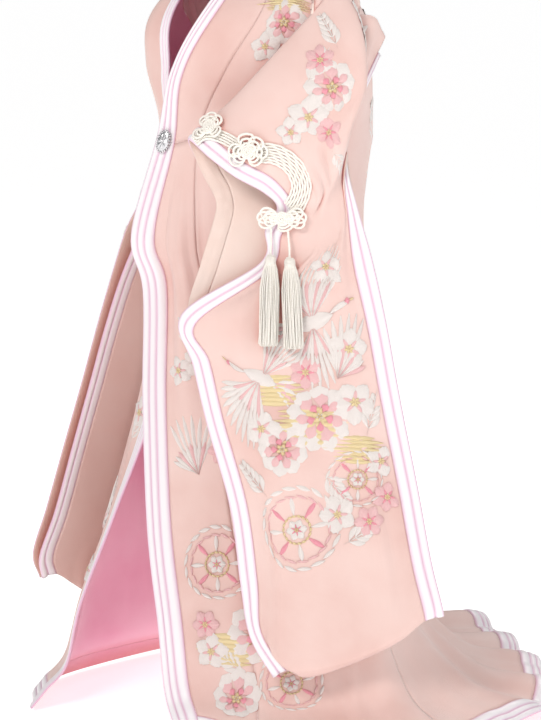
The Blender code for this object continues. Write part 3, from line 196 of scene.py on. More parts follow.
rightFold = [
    (-0.045, 0.275, 1.030), (0.000, 0.276, 1.080), (0.035, 0.270, 1.150), (0.032, 0.245, 1.255),
]
rightOuter = [
    [(-0.050, 0.300, 0.990), (0.010, 0.314, 1.030), (0.060, 0.316, 1.090), (0.072, 0.290, 1.190)],
    [(-0.065, 0.304, 0.945), (0.010, 0.322, 0.972), (0.075, 0.324, 1.020), (0.105, 0.320, 1.115)],
    [(-0.085, 0.302, 0.900), (0.000, 0.316, 0.915), (0.072, 0.320, 0.950), (0.114, 0.320, 1.030),
     (0.096, 0.280, 1.115)],
    [(-0.115, 0.300, 0.850), (-0.022, 0.312, 0.852), (0.045, 0.317, 0.870), (0.082, 0.312, 0.905),
     (0.122, 0.302, 0.985)],
    [(-0.145, 0.300, 0.770), (-0.045, 0.312, 0.768), (0.032, 0.318, 0.778), (0.095, 0.312, 0.805),
     (0.140, 0.296, 0.845)],
    [(-0.174, 0.306, 0.675), (-0.070, 0.318, 0.662), (0.010, 0.324, 0.662), (0.080, 0.320, 0.678),
     (0.136, 0.306, 0.705)],
    [(-0.206, 0.312, 0.565), (-0.098, 0.326, 0.542), (-0.018, 0.332, 0.538), (0.055, 0.328, 0.548),
     (0.118, 0.314, 0.570)],
    [(-0.240, 0.320, 0.450), (-0.130, 0.336, 0.416), (-0.050, 0.341, 0.406), (0.022, 0.337, 0.412),
     (0.090, 0.324, 0.430)],
    [(-0.275, 0.328, 0.330), (-0.162, 0.346, 0.286), (-0.082, 0.351, 0.272), (-0.012, 0.347, 0.274),
     (0.058, 0.334, 0.288)],
    [(-0.300, 0.336, 0.245), (-0.180, 0.353, 0.196), (-0.098, 0.357, 0.180), (-0.028, 0.353, 0.178),
     (0.038, 0.340, 0.190)],
]
rightBottom = [
    (-0.285, 0.333, 0.196), (-0.185, 0.340, 0.158), (-0.102, 0.342, 0.140), (-0.032, 0.340, 0.128),
    (0.022, 0.334, 0.122),
]
# Between the right leaves, by row: gap at the wrist, gap at the back, how far short the back end is.
rightGaps = [
    (0.072, 0.026, 0.000), (0.088, 0.044, 0.004), (0.082, 0.038, 0.034), (0.060, 0.036, 0.020),
    (0.040, 0.020, 0.000), (0.034, 0.016, 0.000), (0.034, 0.014, 0.000), (0.036, 0.014, 0.000),
    (0.038, 0.015, 0.000), (0.030, 0.012, 0.000),
]

wristSeam, backSeam = 1.0, 5.0
backEdge = 6.0
armholeRows = 3             # rows of a leaf down to the armpit
headRows = 2                # of these, the rows sewn to the armhole's edge
levelsARow = 0.5           # body levels between two of them
bandRows = {"left": 3.0, "right": 4.5}    # rows from the fold down to where a back band tapers to nothing
bandStart = 0.25            # rows below that where its cloth starts
shoulderTurn = 0.2          # levels over which the wall turns on top of the shoulder
bandShare = 0.5             # most of the room beside an edge that its band may take
headTurn = 0.3              # columns over which a sleeve's wall turns to the armhole's edge
fineRowCount = 8                # rows from the fold with a half-way line between them

# Folds in the sleeves: column, first and last row, width in columns, height.
leftSleeveFolds = [
    (2.2, 6.0, 10.5, 0.50, 0.006), (3.4, 7.0, 12.5, 0.55, -0.006), (1.6, 9.5, 13.5, 0.40, 0.004),
    (4.4, 4.6, 9.0, 0.40, 0.005), (3.6, 2.2, 4.6, 0.50, 0.008), (2.6, 3.2, 5.6, 0.45, -0.006),
]
rightSleeveFolds = [
    (2.4, 4.0, 9.5, 0.50, 0.006), (3.7, 5.0, 10.5, 0.55, -0.006), (3.0, 1.5, 4.0, 0.50, 0.007),
]

# Cord trim on each cuff: centres and routes along the sleeve and in height, as in the leaf tables.
# A knot also has its half width, half height and number of loops.
cuffs = {
    "left": {
        "knots": [(-0.084, 1.060, 0.031, 0.028, 5), (-0.022, 1.026, 0.034, 0.030, 6),
                  (0.036, 0.914, 0.040, 0.024, 6)],
        "braid": [(0.020, 1.024), (0.042, 1.014), (0.060, 0.995), (0.068, 0.972), (0.064, 0.950)],
        "tassels": [(0.018, 0.842), (0.050, 0.838)],
    },
    "right": {
        "knots": [(-0.016, 1.020, 0.031, 0.028, 5), (0.000, 0.955, 0.034, 0.030, 6),
                  (-0.070, 0.838, 0.040, 0.024, 6)],
        "braid": [(0.008, 0.914), (0.000, 0.902), (-0.010, 0.890), (-0.018, 0.880), (-0.026, 0.868)],
        "tassels": [(-0.088, 0.770), (-0.056, 0.768)],
    },
}
knotLobe = 0.16             # how far the loops stand out, as a share of the radius
trimGap = 0.0012            # cord trim above the cloth it is sewn to
tasselLength = 0.150
tasselStand = 0.021         # tassel's centre line out from the cloth

clipTilt = -20              # degrees, top towards the wearer's left


def blendWeights(position, count):
    first = np.clip(np.floor(position).astype(int), 0, count - 2)
    f = position - first
    weights = [(-f + 2 * f**2 - f**3) / 2, (2 - 5 * f**2 + 3 * f**3) / 2,
               (f + 4 * f**2 - 3 * f**3) / 2, (-f**2 + f**3) / 2]
    return first, weights


def padded(grid):
    rows = np.concatenate([2 * grid[:1] - grid[1:2], grid, 2 * grid[-1:] - grid[-2:-1]])
    first = 2 * rows[:, :1] - rows[:, 1:2]
    last = 2 * rows[:, -1:] - rows[:, -2:-1]
    return np.concatenate([first, rows, last], axis=1)


class Surface:

    def __init__(self, grid, folds, facing):
        self.rows, self.columns = grid.shape[:2]
        self.grid = padded(grid)
        self.folds = folds
        self.facing = facing        # 1 or -1: which way the outer face looks

    def plainPoint(self, row, column):
        firstRow, rowWeights = blendWeights(row, self.rows)
        firstColumn, columnWeights = blendWeights(column, self.columns)
        total = 0.0
        for a in range(4):
            for b in range(4):
                weight = rowWeights[a] * columnWeights[b]
                total = total + weight[..., None] * self.grid[firstRow + a, firstColumn + b]
        return total

    def bow(self, row, column, span):
        return 0.0

    def normalOf(self, point, row, column, span, step=1e-3):
        low, high = np.maximum(column - step, span[0]), np.minimum(column + step, span[1])
        up, down = np.maximum(row - step, 0.0), np.minimum(row + step, self.rows - 1.0)
        across = point(row, high) - point(row, low)
        along = point(down, column) - point(up, column)
        normal = self.facing * np.cross(across, along)
        return normal / np.linalg.norm(normal, axis=-1, keepdims=True)

    def lift(self, row, column):
        total = np.zeros_like(row)
        for place, start, end, width, height in self.folds:
            across = np.clip(1 - ((column - place) / width) ** 2, 0, 1) ** 2
            along = np.clip((row - start) / (end - start), 0, 1)
            total = total + height * across * np.sin(math.pi * along) ** 2
        return total

    def foldedPoint(self, row, column, span):
        def point(r, c):
            return self.plainPoint(r, c) + self.bow(r, c, span)
        normal = self.normalOf(point, row, column, span)
        return point(row, column) + self.lift(row, column)[..., None] * normal

    def at(self, row, column, span):
        row, column = np.broadcast_arrays(np.asarray(row, float), np.asarray(column, float))

        def point(r, c):
            return self.foldedPoint(r, c, span)
        return point(row, column), self.normalOf(point, row, column, span)


class Body(Surface):

    def bow(self, row, column, span):
        middle = (span[0] + span[1]) / 2
        backwards = 1 if sideRight < middle < sideLeft else -1
        nearest = np.minimum(np.abs(column - sideRight), np.abs(column - sideLeft))
        across = np.clip(1 - nearest, 0, 1) ** 2
        along = np.sin(math.pi * np.clip(row / armpit, 0, 1))
        amount = backwards * armholeBow * across * along
        return np.stack([np.zeros_like(amount), amount, np.zeros_like(amount)], axis=-1)

    def normalOf(self, point, row, column, span):
        nearest = np.minimum(np.abs(column - sideRight), np.abs(column - sideLeft))
        beside = np.clip(1 - nearest / armholeSide, 0, 1) * np.clip((armpit - row) / armholeSide, 0, 1)
        normal = super().normalOf(point, row, column, span, 1e-3 + armholeStep * beside)
        low, high = np.maximum(column - 1e-3, span[0]), np.minimum(column + 1e-3, span[1])
        across = point(row, high) - point(row, low)
        upright = self.facing * np.cross(across, (0, 1, 0))
        upright *= np.sign(upright[..., 2:]) / np.linalg.norm(upright, axis=-1, keepdims=True)
        besideNeck = (column <= neckRight) | (column >= neckLeft)
        onTop = np.where(besideNeck, np.clip(1 - row / shoulderTurn, 0, 1), 0)[..., None]
        normal = (1 - onTop) * normal + onTop * upright
        return normal / np.linalg.norm(normal, axis=-1, keepdims=True)


class Sleeve(Surface):

    def __init__(self, grid, folds, facing, body, side):
        super().__init__(grid, folds, facing)
        self.middle = (self.rows - 1) // 2
        self.levels = np.linspace(0, headRows * levelsARow, 9)
        self.edges = [self.sewnEdge(body, side, span) for span in armholeSpans(side)]

    def sewnEdge(self, body, side, span):
        inside = span[0] if span[1] == side else span[1]
        edge, normal = body.at(self.levels, side, span)
        out = edge - body.at(self.levels, side + 0.1 * (inside - side), span)[0]
        out /= np.linalg.norm(out, axis=-1, keepdims=True)
        return np.concatenate([edge + sleeveSet * out, normal], axis=1)

    def armhole(self, row):
        down = np.abs(row - self.middle)
        level = np.minimum(down, headRows) * levelsARow
        behind, before = [np.stack([np.interp(level, self.levels, line) for line in edge.T], axis=-1)
                          for edge in self.edges]
        values = np.where((row >= self.middle)[..., None], behind, before)
        return values[..., :3], values[..., 3:], np.clip(armholeRows - down, 0, 1)

    def bow(self, row, column, span):
        edge = self.plainPoint(row, np.full_like(row, backEdge))
        points, _, sewn = self.armhole(row)
        near = np.clip((column - backSeam) / (backEdge - backSeam), 0, 1) ** 2
        return (near * sewn)[..., None] * (points - edge)

    def normalOf(self, point, row, column, span):
        normal = super().normalOf(point, row, column, span)
        _, edgeNormals, _ = self.armhole(row)
        sewn = np.abs(row - self.middle) <= headRows
        near = np.where(sewn, np.clip(1 - (backEdge - column) / headTurn, 0, 1), 0)[..., None]
        normal = (1 - near) * normal + near * edgeNormals
        return normal / np.linalg.norm(normal, axis=-1, keepdims=True)


def fromShoulder(points):
    return np.array(points, float) - (0, 0, shoulderHeight)


def bandLine(edge, inside, width):
    along = np.gradient(edge, axis=0)
    along /= np.linalg.norm(along, axis=1, keepdims=True)
    inward = inside - edge
    inward = inward - (inward * along).sum(1, keepdims=True) * along
    room = np.linalg.norm(inward, axis=1, keepdims=True)
    return edge + inward / room * np.minimum(np.reshape(width, (-1, 1)), bandShare * room)


# Places round the body, as columns of its grid.
frontEdgeRight, bandRight, okumiRight, sideRight, neckRight = 0, 1, 2, 4, 6
centreBack = 7
neckLeft, sideLeft, okumiLeft, bandLeft, frontEdgeLeft = 8, 10, 12, 13, 14


def makeBody():
    grid = np.stack([fromShoulder(bodyLines[name]) for name in bodyOrder], axis=1)
    last = grid[-1] - grid[-2]
    hem = grid[-1] + edgeBand * last / np.linalg.norm(last, axis=1, keepdims=True)
    grid = np.concatenate([grid, hem[None]])
    widths = bandWidths + [edgeBand]
    rightSeam = bandLine(grid[:, 0], grid[:, 1], widths)
    leftSeam = bandLine(grid[:, -1], grid[:, -2], widths)
    grid = np.concatenate([grid[:, :1], rightSeam[:, None], grid[:, 1:-1], leftSeam[:, None], grid[:, -1:]],
                          axis=1)
    return Body(grid, bodyFolds, facing=1)


leftTurn = math.radians(32)     # the left arm comes forward, so its sleeve hangs in a turned plane


def leftPlace(along, out, height):
    return (out * math.cos(leftTurn) + along * math.sin(leftTurn),
            along * math.cos(leftTurn) - out * math.sin(leftTurn), height)


def rightPlace(along, out, height):
    return -out, along, height


def innerRows(outer, gaps):
    rows = []
    for row, (atWrist, atBack, short) in zip(outer, gaps):
        places = np.linspace(0, 1, 5)
        rows.append([(a - short * k**2, w - atWrist + (atWrist - atBack) * k, h)
                     for (a, w, h), k in zip(row, places)])
    return rows


def armholeSpans(side):
    if side == sideLeft:
        return (side - 1, side), (side, side + 1)
    return (side, side + 1), (side - 1, side)


def makeSleeve(body, place, fold, outer, inner, bottom, folds, side, facing):
    def rowPoints(row, number, span):
        points = [fromShoulder(place(*p)) for p in row]
        if number <= headRows:
            points.append(body.at(number * levelsARow, side, span)[0])
        return points

    def leaf(rows, span):
        return [rowPoints(row, number, span) for number, row in enumerate(rows, 1)]

    behind, before = armholeSpans(side)
    last = len(outer) + 1
    top = rowPoints(fold, 0, behind)
    lowOuter = rowPoints([(a, w + leafSpread, h) for a, w, h in bottom], last, behind)
    lowInner = rowPoints([(a, w - leafSpread, h) for a, w, h in bottom], last, before)
    grid = np.array([lowInner] + leaf(inner, before)[::-1] + [top] + leaf(outer, behind) + [lowOuter])
    wrist = bandLine(grid[:, 0], grid[:, 1], [wristBand] * len(grid))
    back = bandLine(grid[:, -1], grid[:, -2], [furiBand] * len(grid))
    grid = np.concatenate([grid[:, :1], wrist[:, None], grid[:, 1:-1], back[:, None], grid[:, -1:]], axis=1)
    both = [(c, last + a, last + b, w, h) for c, a, b, w, h in folds]
    both += [(c, last - b, last - a, w, -h) for c, a, b, w, h in folds]
    return Sleeve(grid, both, facing, body, side)


def gridOf(rows, columns, count):
    row = np.asarray(rows, float)[:, None]
    share = np.linspace(0, 1, count + 1)[None, :]
    first = columns[0](row) if callable(columns[0]) else columns[0]
    last = columns[1](row) if callable(columns[1]) else columns[1]
    return row + 0 * share, first + (last - first) * share


def pulledIn(points, distance, sides):
    points = points.copy()
    for side in sides:
        line, inside = {"top": (np.s_[0], np.s_[1]), "bottom": (np.s_[-1], np.s_[-2]),
                        "left": (np.s_[:, 0], np.s_[:, 1]), "right": (np.s_[:, -1], np.s_[:, -2])}[side]
        step = points[inside] - points[line]
        length = np.linalg.norm(step, axis=-1, keepdims=True)
        points[line] += step / length * np.minimum(distance, 0.4 * length)
    return points


allSides = ("top", "bottom", "left", "right")


def placeOn(sheet, place, along, height, rows, span):
    low, high = np.array([rows[0], span[0]]), np.array([rows[1], span[1]])
    forward = np.array(place(1, 0, 0)[:2])
    steps = 24
    for _ in range(5):
        row, column = np.meshgrid(np.linspace(low[0], high[0], steps), np.linspace(low[1], high[1], steps),
                                  indexing="ij")
        points = sheet.at(row, column, span)[0]
        miss = (points[..., :2] @ forward - along) ** 2 + (points[..., 2] + shoulderHeight - height) ** 2
        best = np.unravel_index(np.argmin(miss), miss.shape)
        centre = np.array([row[best], column[best]])
        reach = (high - low) / steps * 1.5
        low, high = centre - reach, centre + reach
    return centre


def clothTop(sheet, row, column, span):
    points, normals = sheet.at(row, column, span)
    onBand = np.clip((wristSeam - np.asarray(column, float)) * 4 + 1, 0, 1)[..., None]
    return points + bandRoll * onBand * normals, normals


def alongRoute(route, position):
    places = np.array(route)
    ends = np.concatenate([2 * places[:1] - places[1:2], places, 2 * places[-1:] - places[-2:-1]])
    first, weights = blendWeights(np.clip(position, 0, len(route) - 1), len(route))
    return sum(weights[k] * ends[first + k] for k in range(4))


def makeCollarSurface(body):
    columns = np.linspace(neckRight, neckLeft, collarSteps + 1)
    seam, _ = body.at(np.zeros(collarSteps + 1), columns, (neckRight, neckLeft))
    seam = seam + (0, 0, collarLift)
    fromNape = np.linspace(-1, 1, collarSteps + 1)[:, None]
    lean = np.concatenate([-0.62 * fromNape, 0.20 - 0.15 * fromNape**2, 0.98 - 0.20 * fromNape**2], axis=1)
    stand = collarStand - (collarStand - collarAtShoulder) * fromNape**2
    return Surface(np.stack([seam + lean * (stand + collarBand), seam + lean * stand, seam]), (), facing=1)


def hexColour(value):    # sRGB hex to the linear colour that shaders take
    parts = [int(value[k:k + 2], 16) / 255 for k in (1, 3, 5)]
    return tuple(p / 12.92 if p <= 0.04045 else ((p + 0.055) / 1.055) ** 2.4 for p in parts) + (1.0,)


def addNode(tree, kind, settings=None, links=None, inputs=None, stops=()):
    node = tree.nodes.new(kind)
    for name, value in (settings or {}).items():
        setattr(node, name, value)
    for name, value in (inputs or {}).items():
        node.inputs[name].default_value = value
    for name, source in (links or {}).items():
        tree.links.new(source, node.inputs[name])
    for number, (place, colour) in enumerate(stops):    # a colour ramp is made with two of its own
        element = node.color_ramp.elements[number] if number < 2 else node.color_ramp.elements.new(place)
        element.position = place
        element.color = hexColour(colour)
    return node


def newFinish(name, roughness, sheen=0.0, metallic=0.0):
    made = bpy.data.materials.new(name)
    made.use_nodes = True
    shader = made.node_tree.nodes["Principled BSDF"]
    shader.inputs["Roughness"].default_value = roughness
    shader.inputs["Sheen Weight"].default_value = sheen
    shader.inputs["Sheen Roughness"].default_value = 0.4
    shader.inputs["Metallic"].default_value = metallic
    return made, made.node_tree, shader


def coverWith(tree, shader, colour, height, strength, depth):    # colour and relief of a whole finish
    bump = addNode(tree, "ShaderNodeBump", {}, {"Height": height}, {"Strength": strength, "Distance": depth})
    tree.links.new(colour, shader.inputs["Base Color"])
    tree.links.new(bump.outputs["Normal"], shader.inputs["Normal"])


multiply = {"data_type": "RGBA", "blend_type": "MULTIPLY"}
bandsAcross = {"wave_type": "BANDS", "bands_direction": "X"}
wavesPerMetre = 0.31 * 1000     # a wave texture's scale that puts its bands one millimetre apart

crepeLook = {
    "threadMm": 1.6,       # rib spacing, drawn twice as coarse as the cloth's so that it shows
    "ribHeight": 0.00016,
    "cloudsPerMetre": 5.0,
    "roughness": 0.52,
    "paintedShade": 0.07,        # reach of the painted pink shade that folds take, in metres
}


def crepeSilk(name, shade, colour, light):
    # woven crepe: fine upright ribs, a dry soft sheen, a slow drift of tone and painted pink shade in folds
    # and hollows
    made, tree, shader = newFinish(name, crepeLook["roughness"], sheen=0.35)
    place = addNode(tree, "ShaderNodeTexCoord")
    ribs = addNode(tree, "ShaderNodeTexWave", bandsAcross, {"Vector": place.outputs["UV"]},
                   {"Scale": wavesPerMetre / crepeLook["threadMm"], "Distortion": 1.2, "Detail": 1.0,
                    "Detail Scale": 2.0})
    grain = addNode(tree, "ShaderNodeTexNoise", {}, {"Vector": place.outputs["UV"]},
                    {"Scale": 900.0, "Detail": 1.0})
    clouds = addNode(tree, "ShaderNodeTexNoise", {}, {"Vector": place.outputs["Object"]},
                     {"Scale": crepeLook["cloudsPerMetre"], "Detail": 4.0})
    # painted shade: the silk's colour is multiplied towards pink where nearby cloth closes it in, in folds
    # and hollows
    paintedShade = addNode(tree, "ShaderNodeAmbientOcclusion", {"samples": 8}, {},
                     {"Distance": crepeLook["paintedShade"]})
    tone = addNode(tree, "ShaderNodeValToRGB", {}, {"Fac": clouds.outputs["Fac"]},
                   stops=[(0.30, shade), (0.50, colour), (0.72, light)])
    thread = addNode(tree, "ShaderNodeValToRGB", {}, {"Fac": ribs.outputs["Fac"]},
                     stops=[(0.0, "#F1E4E0"), (1.0, "#FFFFFF")])
    depth = addNode(tree, "ShaderNodeValToRGB", {}, {"Fac": paintedShade.outputs["AO"]},
                    stops=[(0.10, "#F2A9A0"), (0.75, "#FFFFFF")])
    woven = addNode(tree, "ShaderNodeMix", multiply, {6: tone.outputs["Color"], 7: thread.outputs["Color"]},
                    {"Factor": 1.0})
    shadedInFolds = addNode(tree, "ShaderNodeMix", multiply, {6: woven.outputs[2], 7: depth.outputs["Color"]},
                     {"Factor": 1.0})
    height = addNode(tree, "ShaderNodeMath", {"operation": "MULTIPLY_ADD"},
                     {0: grain.outputs["Fac"], 2: ribs.outputs["Fac"]}, {1: 0.6})
    coverWith(tree, shader, shadedInFolds.outputs[2], height.outputs["Value"], 0.7, crepeLook["ribHeight"])
    return made


def paddedSatin(name, rolls, groove, middle, crest):
    # satin over wadding: white crests, painted pink shade deepening into the sewn grooves, small tucks along
    # them
    made, tree, shader = newFinish(name, 0.38, sheen=0.3)
    place = addNode(tree, "ShaderNodeTexCoord")
    across = addNode(tree, "ShaderNodeSeparateXYZ", {}, {"Vector": place.outputs["UV"]})
    turns = addNode(tree, "ShaderNodeMath", {"operation": "MULTIPLY"}, {0: across.outputs["X"]},
                    {1: math.pi * rolls})
    wave = addNode(tree, "ShaderNodeMath", {"operation": "SINE"}, {0: turns.outputs["Value"]})
    swell = addNode(tree, "ShaderNodeMath", {"operation": "ABSOLUTE"}, {0: wave.outputs["Value"]})
    # painted shade: the colour runs from white on each roll's crest to pink in the grooves between rolls
    tint = addNode(tree, "ShaderNodeValToRGB", {}, {"Fac": swell.outputs["Value"]},
                   stops=[(0.0, groove), (0.42, middle), (0.85, crest)])
    tucks = addNode(tree, "ShaderNodeTexNoise", {}, {"Vector": place.outputs["Object"]},
                    {"Scale": 160.0, "Detail": 2.0})
    coverWith(tree, shader, tint.outputs["Color"], tucks.outputs["Fac"], 0.35, 0.0008)
    return made


stitchLook = {
    "threadMm": 0.9,       # thread spacing, drawn coarse enough to show
    "threadHeight": 0.0003,
    "paintedShade": 0.005,       # reach of the shade between two patches, in metres
}


def stitchedThread(name, dark, light, roughness=0.36, metallic=0.0):
    # satin stitch: close parallel threads with a silky glint, and painted shade in the gaps between patches
    made, tree, shader = newFinish(name, roughness, sheen=0.25, metallic=metallic)
    place = addNode(tree, "ShaderNodeTexCoord")
    rows = addNode(tree, "ShaderNodeTexWave", bandsAcross, {"Vector": place.outputs["UV"]},
                   {"Scale": wavesPerMetre / stitchLook["threadMm"], "Distortion": 0.6, "Detail": 0.0})
    # painted shade: the thread colour is darkened where neighbouring patches close it in
    gaps = addNode(tree, "ShaderNodeAmbientOcclusion", {"samples": 8}, {}, {"Distance": stitchLook["paintedShade"]})
    tint = addNode(tree, "ShaderNodeValToRGB", {}, {"Fac": rows.outputs["Fac"]},
                   stops=[(0.0, dark), (0.7, light)])
    depth = addNode(tree, "ShaderNodeValToRGB", {}, {"Fac": gaps.outputs["AO"]},
                    stops=[(0.25, "#D3B5AC"), (0.80, "#FFFFFF")])
    shaded = addNode(tree, "ShaderNodeMix", multiply, {6: tint.outputs["Color"], 7: depth.outputs["Color"]},
                     {"Factor": 1.0})
    coverWith(tree, shader, shaded.outputs[2], rows.outputs["Fac"], 0.8, stitchLook["threadHeight"])
    return made


def grainedFinish(name, dark, light, roughness, grains, spread, relief, sheen=0.0, metallic=0.0):
    # a fine even grain: fibres of plied rayon cord, the skin of cast silver plate, or paper
    made, tree, shader = newFinish(name, roughness, sheen, metallic)
    place = addNode(tree, "ShaderNodeTexCoord")
    grain = addNode(tree, "ShaderNodeTexNoise", {}, {"Vector": place.outputs["Object"]}, grains)
    tint = addNode(tree, "ShaderNodeValToRGB", {}, {"Fac": grain.outputs["Fac"]},
                   stops=[(spread[0], dark), (spread[1], light)])
    coverWith(tree, shader, tint.outputs["Color"], grain.outputs["Fac"], *relief)
    return made


def twistedCord(name, dark, light):
    # matt strands with soft darker lays between them
    return grainedFinish(name, dark, light, 0.5, {"Scale": 700.0, "Detail": 2.0}, (0.3, 0.6), (0.4, 0.0004),
                         sheen=0.3)


def plainFinish(name, colour, roughness, metallic=0.0):
    return grainedFinish(name, *colour, roughness, {"Scale": 400.0, "Detail": 3.0}, (0.2, 0.8),
                         (0.15, 0.0002), metallic=metallic)


outerSilk = crepeSilk("woven_peach_crepe_silk", "#E6C2BA", "#EFD3CC", "#F5DFD9")
sleeveLining = crepeSilk("pale_peach_silk_lining", "#F3DCD0", "#F8E6DC", "#FAEEE6")
bodyLining = crepeSilk("pink_silk_lining", "#F0ADC8", "#F6C0D5", "#F9CFDF")
# white satin whose groove colour is painted pink shade
whiteSatin = {rolls: paddedSatin(f"padded_white_satin_{rolls}_rolls", rolls, "#E6BDD3", "#EEDCE8", "#F4F0F3")
              for rolls in (2, 3)}
ivoryCord = twistedCord("twisted_ivory_rayon_cord", "#EEE7DC", "#FBF8F1")
silverPlate = plainFinish("cast_silver_plate", ("#B9B9BC", "#E6E6E8"), 0.26, 1.0)
threads = [
    stitchedThread("white_satin_stitch", "#DFD3CD", "#F4EEEA"),
    stitchedThread("pale_pink_satin_stitch", "#E5ABAE", "#F1CBCA"),
    stitchedThread("rose_satin_stitch", "#E58A9C", "#F2A6B2"),
    stitchedThread("pale_gold_thread", "#DCC48E", "#F0DFB4", 0.32, 0.35),
]
white, palePink, rose, gold = range(4)
print("finishes made")


def meshOf(name, points, faces, uv, faceFinish, finishes):
    mesh = bpy.data.meshes.new(name)
    mesh.from_pydata(points.tolist(), [], faces.tolist())
    layer = mesh.uv_layers.new(name="cut")
    corner = np.empty(len(mesh.loops), dtype=np.int32)
    mesh.loops.foreach_get("vertex_index", corner)
    layer.data.foreach_set("uv", uv[corner].astype(np.float32).ravel())
    for finish in finishes:
        mesh.materials.append(finish)
    mesh.polygons.foreach_set("material_index", faceFinish.astype(np.int32))
    mesh.polygons.foreach_set("use_smooth", np.ones(len(mesh.polygons), dtype=bool))
    mesh.update()
    piece = bpy.data.objects.new(name, mesh)
    bpy.context.scene.collection.objects.link(piece)
    return piece


def wallPiece(name, outer, inner, uv, finishes):
    rows, columns = outer.shape[:2]
    number = np.arange(rows * columns).reshape(rows, columns)
    quads = np.stack([number[:-1, :-1], number[:-1, 1:], number[1:, 1:], number[1:, :-1]], axis=-1)
    quads = quads.reshape(-1, 4)
    middle = quads[len(quads) // 2]
    points = outer.reshape(-1, 3)
    normal = np.cross(points[middle[1]] - points[middle[0]], points[middle[3]] - points[middle[0]])
    across = points[middle[0]] - inner.reshape(-1, 3)[middle[0]]
    if normal @ across < 0:
        quads = quads[:, ::-1]
    far = quads[:, ::-1] + rows * columns
    ring = np.concatenate([number[0], number[1:, -1], number[-1, -2::-1], number[-2:0:-1, 0]])
    after = np.roll(ring, -1)
    rim = np.stack([ring, after, after + rows * columns, ring + rows * columns], axis=1)
    if normal @ across > 0:
        rim = rim[:, ::-1]
    faces = np.concatenate([quads, far, rim])
    finish = np.concatenate([np.zeros(len(quads)), np.ones(len(far)), np.zeros(len(rim))])
    return meshOf(name, np.concatenate([points, inner.reshape(-1, 3)]), faces,
                  np.concatenate([uv.reshape(-1, 2)] * 2), finish, finishes)


def clothUv(points):    # metres across and along, measured on the piece itself
    across = np.linalg.norm(np.diff(points, axis=1), axis=-1)
    along = np.linalg.norm(np.diff(points, axis=0), axis=-1)
    u = np.concatenate([np.zeros((len(points), 1)), np.cumsum(across, axis=1)], axis=1)
    u = u - u[:, u.shape[1] // 2][:, None]
    v = np.concatenate([[0], np.cumsum(along.mean(axis=1))])[:, None] + 0 * u
    return np.stack([u, v], axis=-1), across.sum(axis=1), along.sum(axis=0)


clothSizes = {
    "rowsEach": 6,        # fine rows for each row of the solid
    "wall": wall,
    "seam": 0.0001,       # from a panel's edge to the seam's middle
    "puff": 0.0011,       # how far the cloth rises between its seams and bedding stitches
}


def fineRows(rows, each):
    rows = np.asarray(rows, float)
    parts = [np.linspace(a, b, each, endpoint=False) for a, b in zip(rows, rows[1:])]
    return np.concatenate(parts + [rows[-1:]])


def softRelief(points, amount):    # slow uneven swells that no length of hung silk is without
    x, y, z = points[..., 0], points[..., 1], points[..., 2]
    swell = np.sin(23 * x + 17 * y + 5 * np.sin(4.1 * z)) + 0.7 * np.sin(41 * x - 29 * y + 3.2 * z + 1.3)
    swell = swell + 0.5 * np.sin(11 * z + 19 * x + 2.1) + 0.35 * np.sin(67 * x + 53 * y - 9 * z)
    return amount * swell[..., None] / 2.5


cutSizes = {}


def finishSheet(piece, node, width, length, area):
    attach(piece, "root")
    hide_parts(node)
    width, length = float(width.max()), float(length.max())
    cutSizes[node] = [round(width, 3), round(length, 3), round(float(area), 4)]


def makePanel(node, sheet, rows, columns, count, lining, relief=0.0016):
    fine = fineRows(rows, clothSizes["rowsEach"])
    row, column = gridOf(fine, columns, count)
    points, normals = sheet.at(row, column, (column.min(), column.max()))
    share = np.linspace(0, 1, count + 1)[None, :, None]
    lengthwise = np.sin(math.pi * np.linspace(0, 1, len(fine)))[:, None, None]
    free = np.sin(math.pi * share) ** 0.5 * lengthwise ** 0.3      # nought at the seams, one amid the panel
    points = points + free * (softRelief(points, relief) + clothSizes["puff"]) * normals
    outer = pulledIn(points, clothSizes["seam"], allSides)
    inner = pulledIn(points - clothSizes["wall"] * normals, clothSizes["seam"], allSides)
    uv, width, length = clothUv(points)
    piece = wallPiece("cloth_" + node, outer, inner, uv, [outerSilk, lining])
    across = np.linalg.norm(np.diff(points, axis=1), axis=-1).mean()
    along = np.linalg.norm(np.diff(points, axis=0), axis=-1).mean()
    area = (across * along * (points.shape[0] - 1) * (points.shape[1] - 1))
    finishSheet(piece, node, width, length, area)


bandSizes = {
    "roll": bandRoll,
    "swell": 0.0014,
    "groove": 0.55,       # sharper than a sine: the sewn grooves are narrow
    "stepsPerRoll": 7,
}


def makeBand(node, sheet, rows, columns, rolls, lining, along="rows", count=None, each=None):
    steps = rolls * bandSizes["stepsPerRoll"]
    if along == "rows":
        fine, count = fineRows(rows, each or clothSizes["rowsEach"]), steps
    else:
        fine = np.linspace(rows[0], rows[-1], steps + 1)
    row, column = gridOf(fine, columns, count)
    points, normals = sheet.at(row, column, (column.min(), column.max()))
    uv, width, length = clothUv(points)
    share = np.linspace(0, 1, steps + 1)
    share = share[None, :, None] if along == "rows" else share[:, None, None]
    place = uv[..., 1:] if along == "rows" else uv[..., :1]
    ripple = 1 + 0.10 * np.sin(place * 210 + 3 * np.sin(place * 31)) * np.cos(math.pi * rolls * share) ** 2
    proud = bandSizes["roll"] * np.abs(np.sin(math.pi * rolls * share)) ** bandSizes["groove"] * ripple
    swell = bandSizes["swell"] * np.sin(math.pi * share)
    outer = pulledIn(points + proud * normals, clothSizes["seam"], allSides)
    inner = pulledIn(points - (clothSizes["wall"] + swell) * normals, clothSizes["seam"], allSides)
    bandUv = np.stack([share[..., 0] + 0 * uv[..., 0], place[..., 0]], axis=-1)
    piece = wallPiece("band_" + node, outer, inner, bandUv, [whiteSatin[rolls], lining])
    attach(piece, "root")
    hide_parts(node)
    cutSizes[node] = [round(float(size), 3) for size in sorted((width.max(), length.max()))]


